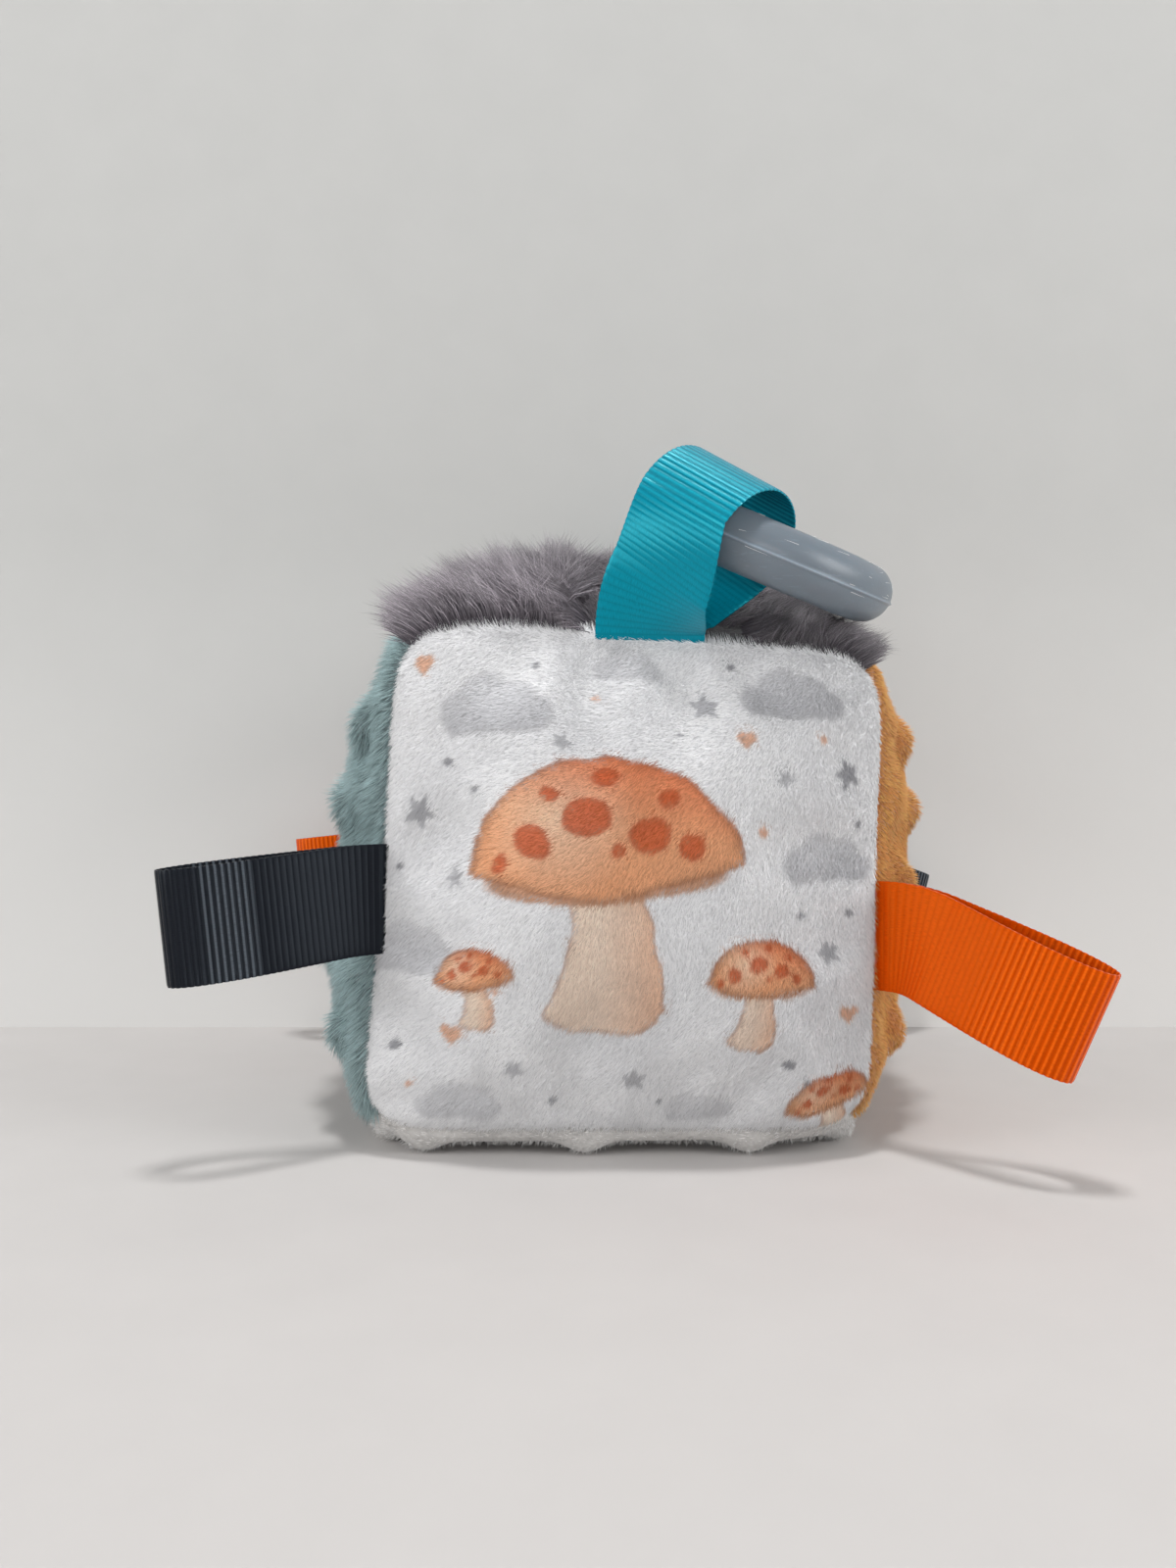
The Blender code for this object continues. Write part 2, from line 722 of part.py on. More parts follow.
def main():
    group, cutters = start_empty()
    slots = {name: ribbon_slot(cutters, name) for name in LOOPS}
    floor = floor_cut(cutters)
    for name in PANELS:
        plush_panel(group, cutters, name, slots, floor)
    top_fur(group)
    filling(group)
    for pair in SEAMS:
        seam_thread(group, pair)
    for name in LOOPS:
        ribbon_loop(group, name)
        ribbon_end(group, name)
    teether_ring(group)


main()
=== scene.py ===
"""Looks of a soft fabric block: six plush faces round a filling, six ribbon loops and a ring."""

import itertools
import math

import bmesh
import bpy
import numpy as np
from bpy.props import (
    FloatProperty,
    FloatVectorProperty,
    IntProperty,
    PointerProperty,
)
from bpy.types import Operator, Panel, PropertyGroup
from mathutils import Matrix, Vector
from mathutils.kdtree import KDTree


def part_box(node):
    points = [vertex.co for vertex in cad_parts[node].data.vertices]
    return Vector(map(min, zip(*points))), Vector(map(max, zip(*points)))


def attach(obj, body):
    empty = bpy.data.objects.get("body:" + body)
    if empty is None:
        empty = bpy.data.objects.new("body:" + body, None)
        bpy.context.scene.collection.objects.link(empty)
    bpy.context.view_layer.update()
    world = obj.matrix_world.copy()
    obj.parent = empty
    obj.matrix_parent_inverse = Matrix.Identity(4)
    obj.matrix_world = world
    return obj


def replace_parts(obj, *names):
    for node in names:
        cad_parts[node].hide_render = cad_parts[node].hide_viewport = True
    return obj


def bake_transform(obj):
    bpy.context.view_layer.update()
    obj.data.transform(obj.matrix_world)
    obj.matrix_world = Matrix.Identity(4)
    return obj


bl_info = {
    "name": "Soft fabric block",
    "version": (1, 0, 0),
    "blender": (4, 5, 0),
    "location": "View3D > Sidebar > Fabric block",
    "description": "Plush covers, pile, fur, ribbon loops and teether ring of a soft block",
    "category": "Add Mesh",
}

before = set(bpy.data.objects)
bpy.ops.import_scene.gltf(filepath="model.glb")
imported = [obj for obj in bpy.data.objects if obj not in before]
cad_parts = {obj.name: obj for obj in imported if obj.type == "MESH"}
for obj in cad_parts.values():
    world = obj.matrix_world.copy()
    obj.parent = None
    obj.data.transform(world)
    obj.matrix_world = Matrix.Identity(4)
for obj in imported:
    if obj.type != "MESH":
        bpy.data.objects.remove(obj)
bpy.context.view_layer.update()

# ---- the block's own lengths, as in the part's source, in metres

HALF = 0.050
SEAM_HEIGHT = 0.004
MIDDLE = Vector((0, 0, SEAM_HEIGHT + HALF))
TOP = SEAM_HEIGHT + 2 * HALF
CROWNS = {"front": 0.013, "back": 0.013, "left": 0.013, "right": 0.013, "top": 0.016, "bottom": 0.002}
CROWN_POWERS = {"bottom": 8}
CORNER_DRAW = 0.006
CORNER_POWER = 8
CLOTH = 0.0012
ALLOWANCE = 0.007
DOT_PITCH = 0.016
DOT_HEIGHT = 0.0025
DOT_FOOT = 0.0068
RIM = 0.014
RIM_DOTS = (-0.0375, -0.0055, 0.0265)
RIBBON_WIDTH = 0.022
RIBBON = 0.0006
BEND_LENGTH = 0.010
TWIST_SHARE = 0.65
SIDES = {
    "front": Vector((0, -1, 0)),
    "back": Vector((0, 1, 0)),
    "left": Vector((-1, 0, 0)),
    "right": Vector((1, 0, 0)),
    "top": Vector((0, 0, 1)),
    "bottom": Vector((0, 0, -1)),
}
ACROSS = {"front": 0, "back": 0, "left": 1, "right": 1, "top": 0, "bottom": 0}
UP = {"front": 2, "back": 2, "left": 2, "right": 2, "top": 1, "bottom": 1}

RING_MIDDLE = np.array([0.027344, -0.038782, 0.124082])
RING_FLAT = Vector((0.37851, -0.23096, 0.89632)).normalized()
RING_TUBE = 0.012
RING_ACROSS = 0.057
FUR_HEIGHT = 0.010
FUR_PARTING = 0.009
FUR_FIBRES = (19000, 19000, 13000)
PARTINGS = ((-1, -0.009, 0.0218), (1, -0.0003, 0.0237))

FORM = "stuffing"
FORM_STEPS = 28
START_SWELL = 0.72  # share of its crown that a panel has before the filling goes in
FILL_PRESSURE = 4
FILL_FRAMES = 20
FILL_STRETCH = -0.035  # the cloth is cut this much larger than the starting form
FILL_LIMIT = 0.0055  # the farthest that the filling moves the cloth
FLOOR_GAP = 0.0016

# How far the settled block's left and right sides move outward, by powers of the way down
SETTLED_LEFT = (0.0013, -0.0015, -0.0058)
SETTLED_RIGHT = (0.0006, -0.0054, 0.0024)
# How far its top moves up, at places from left to right
SETTLED_TOP_AT = (-0.066, -0.048, -0.030, -0.010, 0.003, 0.020, 0.050, 0.066)
SETTLED_TOP = (0.0016, 0.0026, 0.0034, 0.0020, 0.0009, -0.0004, -0.0030, -0.0034)
SETTLED_FROM = 0.02
SETTLED_RIM = 0.0014


def sized(description, default, low, high):
    return FloatProperty(
        name=description, description=description, default=default, min=low, max=high,
        subtype="DISTANCE", unit="LENGTH",
    )


def tinted(description, red, green, blue):
    """A colour as a screen shows it, from 0 to 255."""
    return FloatVectorProperty(
        name=description, description=description, default=tuple(shade(red, green, blue)), min=0, max=1,
        subtype="COLOR",
    )


def linear(level):
    share = level / 255
    return share / 12.92 if share <= 0.04045 else ((share + 0.055) / 1.055) ** 2.4


def shade(red, green, blue):
    return np.array([linear(c) for c in (red, green, blue)])


class FabricBlockPile(PropertyGroup):
    plush: sized("Length of the printed plush's pile", 0.0014, 0.0008, 0.004)
    dimple: sized("Length of the dimple plush's pile", 0.0036, 0.001, 0.006)
    fur: sized("Length of the top fur", 0.0125, 0.004, 0.018)
    seed: IntProperty(name="Seed", description="Start of the random lie of the pile", default=7, min=0)


class FabricBlockRibbon(PropertyGroup):
    rib_pitch: sized("Distance from one rib to the next", 0.00125, 0.0005, 0.003)
    rib_depth: sized("How deep the grooves between the ribs are", 0.00018, 0, 0.0003)
    selvedge: sized("How far a rib stands out at the ribbon's edge", 0.00012, 0, 0.0004)


class FabricBlockColours(PropertyGroup):
    white: tinted("White plush", 248, 248, 250)
    sage: tinted("Sage dimple plush", 164, 188, 190)
    caramel: tinted("Caramel dimple plush", 240, 160, 92)
    fur: tinted("Warm grey fur", 119, 113, 118)
    base: tinted("Pale dimple plush", 216, 213, 210)
    teal: tinted("Teal ribbon", 0, 126, 149)
    orange: tinted("Orange ribbon", 200, 67, 0)
    charcoal: tinted("Charcoal ribbon", 21, 23, 29)
    ring: tinted("Grey silicone", 108, 118, 127)
    peach: tinted("Print's peach", 243, 178, 132)
    rust: tinted("Print's rust", 208, 92, 36)
    slate: tinted("Print's grey", 128, 128, 136)


class FabricBlock(PropertyGroup):
    pile: PointerProperty(type=FabricBlockPile)
    ribbon: PointerProperty(type=FabricBlockRibbon)
    colours: PointerProperty(type=FabricBlockColours)


# ---- helpers


def new_object(name, mesh):
    piece = bpy.data.objects.new(name, mesh)
    bpy.context.scene.collection.objects.link(piece)
    return piece


def wear(piece, material):
    """Gives a piece one material in place of what it had."""
    piece.data.materials.clear()
    piece.data.materials.append(material)


def smooth(mesh):
    for polygon in mesh.polygons:
        polygon.use_smooth = True


def select_only(piece):
    bpy.ops.object.select_all(action="DESELECT")
    piece.select_set(True)
    bpy.context.view_layer.objects.active = piece


def apply_modifier(piece, kind, **settings):
    """Adds a modifier with these settings and applies it."""
    modifier = piece.modifiers.new(kind.title(), kind)
    for key, value in settings.items():
        setattr(modifier, key, value)
    select_only(piece)
    bpy.ops.object.modifier_apply(modifier=modifier.name)


def points_of(mesh):
    spots = np.empty(len(mesh.vertices) * 3)
    mesh.vertices.foreach_get("co", spots)
    return spots.reshape(-1, 3)


def normals_of(mesh):
    normals = np.empty(len(mesh.vertices) * 3, np.float32)
    mesh.vertex_normals.foreach_get("vector", normals)
    return normals.reshape(-1, 3).astype(float)


def place(mesh, spots):
    mesh.vertices.foreach_set("co", np.ascontiguousarray(spots, dtype=np.float32).ravel())
    mesh.update()


def read_vectors(mesh, name):
    values = np.empty(len(mesh.vertices) * 3, np.float32)
    mesh.attributes[name].data.foreach_get("vector", values)
    return values.reshape(-1, 3).astype(float)


def write_values(mesh, name, kind, field, values):
    """Keeps a value for each vertex, for a later step or a material to read."""
    attribute = mesh.attributes.get(name) or mesh.attributes.new(name, kind, "POINT")
    attribute.data.foreach_set(field, np.ascontiguousarray(values, dtype=np.float32).ravel())


def write_vectors(mesh, name, values):
    write_values(mesh, name, "FLOAT_VECTOR", "vector", values)


def write_floats(mesh, name, values):
    write_values(mesh, name, "FLOAT", "value", values)


def write_tint(mesh, values):
    full = np.ones((len(values), 4))
    full[:, :3] = np.clip(values, 0, 1)
    write_values(mesh, "tint", "FLOAT_COLOR", "color", full)


def unit(vectors):
    return vectors / np.maximum(np.linalg.norm(vectors, axis=-1, keepdims=True), 1e-12)


def stacked(*rows):
    """Points from rows of x, y and z values. One number stands for a whole row."""
    return np.stack(np.broadcast_arrays(*rows), axis=1)


def smooth_step(values, low, high):
    part = np.clip((values - low) / (high - low), 0, 1)
    return part * part * (3 - 2 * part)


def drift(points, size, seed):
    """Smooth random values from -1 to 1 that change over a distance of about size."""
    steps = 24
    grid = np.random.default_rng(seed).uniform(-1, 1, (steps,) * 3)
    spot = points / size + 40 * steps
    cell = np.floor(spot).astype(int)
    part = spot - cell
    part = part * part * (3 - 2 * part)
    total = np.zeros(len(points))
    for corner in itertools.product((0, 1), repeat=3):
        weight = np.prod(np.where(corner, part, 1 - part), axis=1)
        total += weight * grid[tuple(((cell + corner) % steps).T)]
    return total


# ---- materials


class Surface:
    """A node material built step by step."""

    def __init__(self, name, **sockets):
        self.material = bpy.data.materials.new(name)
        self.material.use_nodes = True
        self.tree = self.material.node_tree
        self.shader = self.tree.nodes["Principled BSDF"]
        for key, value in sockets.items():
            self.set(self.shader, key.replace("_", " ").title().replace("Ior", "IOR"), value)

    def set(self, node, socket, value):
        target = node.inputs[socket]
        if isinstance(value, bpy.types.NodeSocket):
            self.tree.links.new(value, target)
        elif hasattr(value, "__len__") and len(value) == 3 and target.type == "RGBA":
            target.default_value = (*value, 1)
        else:
            target.default_value = value

    def node(self, kind, inputs=(), **settings):
        made = self.tree.nodes.new(kind)
        for key, value in settings.items():
            setattr(made, key, value)
        for socket, value in dict(inputs).items():
            self.set(made, socket, value)
        return made

    def attribute(self, name, output="Color"):
        return self.node("ShaderNodeAttribute", attribute_name=name).outputs[output]

    def object_place(self):
        return self.node("ShaderNodeTexCoord").outputs["Object"]

    def noise(self, place, scale, detail=2.0, roughness=0.5):
        inputs = {"Vector": place, "Scale": scale, "Detail": detail, "Roughness": roughness}
        return self.node("ShaderNodeTexNoise", inputs).outputs["Fac"]

    def scaled(self, place, scale):
        return self.node("ShaderNodeMapping", {"Vector": place, "Scale": scale}).outputs["Vector"]

    def math(self, operation, first, second=0.5):
        return self.node("ShaderNodeMath", {0: first, 1: second}, operation=operation).outputs[0]

    def ramp(self, factor, stops):
        made = self.node("ShaderNodeValToRGB", {"Fac": factor})
        ends = made.color_ramp.elements
        while len(ends) < len(stops):
            ends.new(0.5)
        for stop, (position, colour) in zip(ends, stops):
            stop.position = position
            stop.color = (*colour, 1) if hasattr(colour, "__len__") else (colour,) * 3 + (1,)
        return made.outputs["Color"]

    def spread(self, factor, low, high):
        made = self.node("ShaderNodeMapRange", {"Value": factor, "To Min": low, "To Max": high})
        return made.outputs["Result"]

    def mixed(self, factor, first, second, blend="MIX"):
        made = self.node("ShaderNodeMix", data_type="RGBA", blend_type=blend)
        self.set(made, "Factor", factor)
        for socket, value in ((made.inputs[6], first), (made.inputs[7], second)):
            if isinstance(value, bpy.types.NodeSocket):
                self.tree.links.new(value, socket)
            else:
                socket.default_value = (*value, 1)
        return made.outputs[2]

    def bump(self, height, strength, distance):
        inputs = {"Height": height, "Strength": strength, "Distance": distance}
        return self.node("ShaderNodeBump", inputs).outputs["Normal"]

    def finish(self, colour, roughness, normal=None):
        self.set(self.shader, "Base Color", colour)
        self.set(self.shader, "Roughness", roughness)
        if normal is not None:
            self.set(self.shader, "Normal", normal)
        return self.material


def toned(colour, share, plus=(0.0, 0.0, 0.0)):
    return tuple(min(c * share + p, 1) for c, p in zip(colour, plus))


def pile_material(name, roughness, sheen, hue=(1.0, 1.0, 1.0), specular=0.4):
    """Fibres take their colour from the tint painted on them, and are glossier towards their tips."""
    surface = Surface(
        name, specular_ior_level=specular, specular_tint=hue,
        sheen_weight=sheen, sheen_roughness=0.45, sheen_tint=hue,
    )
    along = surface.attribute("along", "Fac")
    return surface.finish(
        surface.attribute("tint"), surface.spread(along, min(roughness + 0.15, 1), roughness)
    )


def backing_material(name):
    """The knitted ground that the pile stands in."""
    surface = Surface(name, specular_ior_level=0.2, sheen_weight=0.3, sheen_roughness=0.5)
    knit = surface.noise(surface.object_place(), 1400, 3)
    # painted shade: the ground is painted darker where the knit is low
    tint = surface.mixed(surface.spread(knit, 0.35, 0.0), surface.attribute("tint"), (0.02, 0.02, 0.02))
    return surface.finish(tint, surface.spread(knit, 0.75, 0.95), surface.bump(knit, 0.6, 0.0006))


def ribbon_material(name, colour, glint, gloss):
    """Grosgrain: warp threads run along the ribbon, over the ribs that its shape already has.

    Its gloss takes the ribbon's own hue. The grooves are painted darker as shade, and the rib crests lighter as
    a painted highlight, most where it bends.
    """
    surface = Surface(name, specular_ior_level=gloss, specular_tint=glint)
    strip = surface.node("ShaderNodeUVMap", uv_map="Ribbon").outputs["UV"]
    threads = surface.scaled(strip, (4200, 0, 0))
    warp = surface.node(
        "ShaderNodeTexWave", {"Vector": threads, "Scale": 0.5, "Distortion": 0.4}, bands_direction="X"
    ).outputs["Fac"]
    worn = surface.noise(surface.scaled(strip, (240, 160, 1)), 1, 3)
    fibre = surface.noise(surface.scaled(strip, (9000, 900, 1)), 1, 2)
    tone = surface.ramp(fibre, [(0.25, toned(colour, 0.72)), (0.5, colour), (0.8, toned(colour, 1.15))])
    rib = surface.attribute("rib", "Fac")
    # painted shade: the grooves between the ribs are painted darker
    tone = surface.mixed(surface.spread(rib, 0.45, 0.0), tone, toned(colour, 0.5))
    # painted highlight: the rib crests are painted lighter in the glint's hue, beaded, and strongest where the
    # loop bends
    crest = surface.ramp(rib, [(0.86, 0.0), (0.99, 1.0)])
    beaded = surface.math("MULTIPLY", crest, surface.spread(fibre, 0.2, 1.0))
    shine = surface.math("MULTIPLY", beaded, surface.attribute("shine", "Fac"))
    tone = surface.mixed(shine, tone, toned(colour, 1.3, [0.16 * g for g in glint]))
    return surface.finish(tone, surface.spread(worn, 0.16, 0.3), surface.bump(warp, 0.3, 0.00005))


def silicone_material(colour):
    """Cloudy grey silicone with fine scratches, and a highlight painted along the parting line."""
    surface = Surface("grey_silicone", specular_ior_level=0.45, subsurface_weight=0.08, subsurface_scale=0.003)
    place_in = surface.object_place()
    cloudy = surface.noise(place_in, 70, 3)
    fine = surface.noise(place_in, 1500, 2)
    tone = surface.ramp(cloudy, [(0.3, toned(colour, 0.94)), (0.7, toned(colour, 1.05))])
    scratch = surface.noise(surface.scaled(place_in, (180, 900, 2600)), 1, 4, 0.7)
    tone = surface.mixed(surface.ramp(scratch, [(0.6, 0.0), (0.68, 0.6)]), tone, toned(colour, 1.35))
    # painted highlight: the parting ridge is painted paler
    ridge = surface.spread(surface.attribute("ridge", "Fac"), 0.0, 0.75)
    tone = surface.mixed(ridge, tone, toned(colour, 1.9))
    return surface.finish(tone, surface.spread(cloudy, 0.3, 0.44), surface.bump(fine, 0.12, 0.0002))


def thread_material():
    surface = Surface("sewing_thread", specular_ior_level=0.4, sheen_weight=0.2)
    ply = surface.noise(surface.object_place(), 2600, 2)
    tone = surface.ramp(ply, [(0.3, (0.5, 0.49, 0.47)), (0.7, (0.78, 0.77, 0.75))])
    return surface.finish(tone, surface.spread(ply, 0.5, 0.7), surface.bump(ply, 0.5, 0.0002))


def filling_material():
    surface = Surface("filling_fibre", specular_ior_level=0.2, sheen_weight=0.3)
    wisps = surface.noise(surface.scaled(surface.object_place(), (500, 1500, 700)), 1, 5, 0.7)
    tone = surface.ramp(wisps, [(0.3, (0.72, 0.72, 0.72)), (0.7, (0.9, 0.9, 0.9))])
    return surface.finish(tone, surface.spread(wisps, 0.8, 0.95), surface.bump(wisps, 0.8, 0.001))


# ---- the stuffed form


def swell(across, up, crown, power):
    return crown * (1 - np.abs(across) ** power) * (1 - np.abs(up) ** power)


def side_of(spots):
    """The face that each direction from the middle points to, as an index into SIDES."""
    return np.argmax(spots @ np.array([s[:] for s in SIDES.values()]).T, axis=1)


def drawn_in(spots):
    """Draws the corners in towards the middle."""
    offsets = spots - np.array(MIDDLE)
    share = np.abs(np.prod(offsets, axis=1)) / HALF**3
    return spots - unit(offsets) * (CORNER_DRAW * share**CORNER_POWER)[:, None]


def settled(spots):
    """Where a point of the cover goes once the block has settled: lower right, spread at the lower left."""
    x, z = spots[:, 0], spots[:, 2]
    low = np.clip((TOP - z) / (2 * HALF), 0, 1.05)
    across = np.clip((x + HALF) / (2 * HALF), -0.1, 1.1)
    left, right = (flat + slope * low + curve * low**2 for flat, slope, curve in (SETTLED_LEFT, SETTLED_RIGHT))
    height = np.clip((z - SETTLED_FROM) / (TOP - SETTLED_FROM), 0, 1) ** 2
    rim = smooth_step(np.maximum(np.abs(x), np.abs(spots[:, 1])), 0.8 * HALF, 0.98 * HALF)
    moved = spots.copy()
    moved[:, 0] += left * (1 - across) + right * across
    moved[:, 2] += np.interp(x, SETTLED_TOP_AT, SETTLED_TOP) * height
    moved[:, 2] += SETTLED_RIM * rim * np.exp(-(((z - SEAM_HEIGHT) / 0.012) ** 2))
    return moved


def seam_distance(flat):
    """How far each point of the unfolded cube is from its nearest seam."""
    return np.sort(HALF - np.abs(flat - np.array(MIDDLE)), axis=1)[:, 1]


class FABRICBLOCK_OT_stuffed_form(Operator):
    """Shapes a cube to the cover's form, fills it by cloth simulation and lets it settle"""

    bl_idname = "fabricblock.stuffed_form"
    bl_label = "Stuffed form"

    def execute(self, context):
        bpy.ops.object.select_all(action="DESELECT")
        bpy.ops.mesh.primitive_cube_add(size=2 * HALF, location=MIDDLE)
        form = context.object
        form.name = FORM
        bpy.ops.object.mode_set(mode="EDIT")
        bpy.ops.mesh.select_all(action="SELECT")
        bpy.ops.mesh.subdivide(number_cuts=FORM_STEPS - 1)
        bpy.ops.object.mode_set(mode="OBJECT")
        bpy.ops.object.transform_apply(location=True, rotation=True, scale=True)
        flat = points_of(form.data)
        write_vectors(form.data, "flat", flat)
        centres = np.empty(len(form.data.polygons) * 3)
        form.data.polygons.foreach_get("center", centres)
        panel = form.data.attributes.new("panel", "INT", "FACE")
        panel.data.foreach_set("value", side_of(centres.reshape(-1, 3) - np.array(MIDDLE)).astype(np.int32))
        start = self.crowned(flat, START_SWELL)
        place(form.data, start)
        self.fill(context, form, flat)
        moved = points_of(form.data) - start
        size = np.linalg.norm(moved, axis=1, keepdims=True)
        moved *= np.minimum(1, FILL_LIMIT / np.maximum(size, 1e-9))
        spots = settled(self.lumpy(start + moved, flat))
        spots[:, 2] = np.maximum(spots[:, 2], FLOOR_GAP)
        place(form.data, spots)
        return {"FINISHED"}

    def crowned(self, flat, share):
        """The unfolded cube's points, swollen by a share of each panel's crown."""
        spots = flat.copy()
        offsets = flat - np.array(MIDDLE)
        side = side_of(offsets)
        for index, (name, normal) in enumerate(SIDES.items()):
            mine = side == index
            across, up = offsets[mine][:, ACROSS[name]] / HALF, offsets[mine][:, UP[name]] / HALF
            crown = CROWNS[name] * (1 if name == "bottom" else share)
            rise = swell(across, up, crown, CROWN_POWERS.get(name, 2.6))
            spots[mine] += rise[:, None] * np.array(normal)
        return drawn_in(spots)

    def fill(self, context, form, flat):
        """Blows the cover up like a cushion, held at its seams and its base."""
        held = form.vertex_groups.new(name="seams")
        on_seam = seam_distance(flat) < 1e-5
        base = flat[:, 2] < SEAM_HEIGHT + 1e-5
        held.add([int(i) for i in np.nonzero(on_seam | base)[0]], 1.0, "REPLACE")
        cloth = form.modifiers.new("Filling", "CLOTH")
        cloth.settings.vertex_group_mass = held.name
        cloth.settings.use_pressure = True
        cloth.settings.uniform_pressure_force = FILL_PRESSURE
        cloth.settings.effector_weights.gravity = 0
        cloth.settings.shrink_min = FILL_STRETCH
        cloth.settings.quality = 6
        select_only(form)
        for step in range(1, FILL_FRAMES + 1):
            context.scene.frame_set(step)
        bpy.ops.object.modifier_apply(modifier=cloth.name)
        context.scene.frame_set(1)

    def lumpy(self, spots, flat):
        """Lumps of the filling, and puckers that die away from the seams."""
        outward = unit(spots - np.array(MIDDLE))
        inland = smooth_step(seam_distance(flat), 0.0, 0.018)
        lumps = 0.0012 * drift(flat, 0.021, 3) + 0.0005 * drift(flat, 0.009, 4)
        puckers = 0.0006 * drift(flat, 0.0055, 5) * np.exp(-seam_distance(flat) / 0.007)
        rise = lumps * inland + puckers * smooth_step(seam_distance(flat), 0.0, 0.003)
        return spots + outward * rise[:, None]


# ---- the cover's panels


PANEL_SLOTS = {
    "front": "printed_plush",
    "back": "printed_plush",
    "left": "sage_dimple_plush",
    "right": "caramel_dimple_plush",
    "top": "grey_fur",
    "bottom": "pale_dimple_plush",
}
EDGE_SINK = 0.0006  # how far the cloth sinks in at its seams
DOT_SWELL = 1.45  # how much fuller the stuffed dots are than the flat cloth's
RIM_WALL = 0.3  # share of the base's rim that stands up
FLOOR_CLEARANCE = 0.0004
POCKET_CLOSED = 0.00022  # half the gap between two allowances
POCKET = 0.0007  # how much wider it is at a ribbon
POCKET_ENDS = (-0.0135, -0.0112)  # where it widens, away from the ribbon's middle
RIBBON_ROOTS = {
    ("front", "left"): 0.052,
    ("front", "right"): 0.0445,
    ("back", "left"): 0.052,
    ("back", "right"): 0.048,
    ("front", "top"): 0.003,
    ("back", "top"): 0.0117,
}


def raised_dots(across, up):
    """The height of the dimple plush's dots at points of a panel."""
    rise = np.zeros(len(across))
    for i, j in itertools.product(range(-2, 3), repeat=2):
        if (i + j) % 2 == 0:
            far = np.hypot(across - i * DOT_PITCH, up - j * DOT_PITCH)
            rise = np.maximum(rise, DOT_HEIGHT * np.cos(np.minimum(far / DOT_FOOT, 1) * math.pi / 2) ** 1.5)
    return rise


def cut_panel(form, name):
    """One face of the stuffed form as its own open mesh."""
    mesh = form.data.copy()
    cut = bmesh.new()
    cut.from_mesh(mesh)
    label = cut.faces.layers.int["panel"]
    index = list(SIDES).index(name)
    bmesh.ops.delete(cut, geom=[f for f in cut.faces if f[label] != index], context="FACES")
    cut.to_mesh(mesh)
    cut.free()
    return new_object(name + "_cover", mesh)


def turn_in(panel, name):
    """Turns the seam allowance in along the mitre of every seam, with a pocket where a ribbon is sewn in."""
    mesh = panel.data
    cut = bmesh.new()
    cut.from_mesh(mesh)
    flat = cut.verts.layers.float_vector["flat"]
    border = [e for e in cut.edges if e.is_boundary]
    own = SIDES[name]
    for share in (0.25, 0.75):
        made = bmesh.ops.extrude_edge_only(cut, edges=border)["geom"]
        border = [e for e in made if isinstance(e, bmesh.types.BMEdge) and e.is_boundary]
        verts = [v for v in made if isinstance(v, bmesh.types.BMVert)]
        for vert in verts:
            offset = vert[flat] - MIDDLE
            others = [s for n, s in SIDES.items() if n != name and s.dot(offset) > HALF - 1e-5]
            vert.co -= (own + sum(others, Vector())).normalized() * ALLOWANCE * share
            if share == 0.25:
                vert.co -= sum((pocket(name, other, vert[flat]) * other for other in others), Vector())
    cut.to_mesh(mesh)
    cut.free()


def pocket(name, other, spot):
    """How far the allowance stands back from its neighbour at this point of the seam."""
    other_name = next(n for n, s in SIDES.items() if s == other)
    for pair in ((name, other_name), (other_name, name)):
        if pair in RIBBON_ROOTS:
            along = spot[0] if "top" in pair else spot[2]
            near = abs(along - RIBBON_ROOTS[pair])
            return POCKET_CLOSED + POCKET * float(smooth_step(np.array(-near), *POCKET_ENDS))
    return POCKET_CLOSED


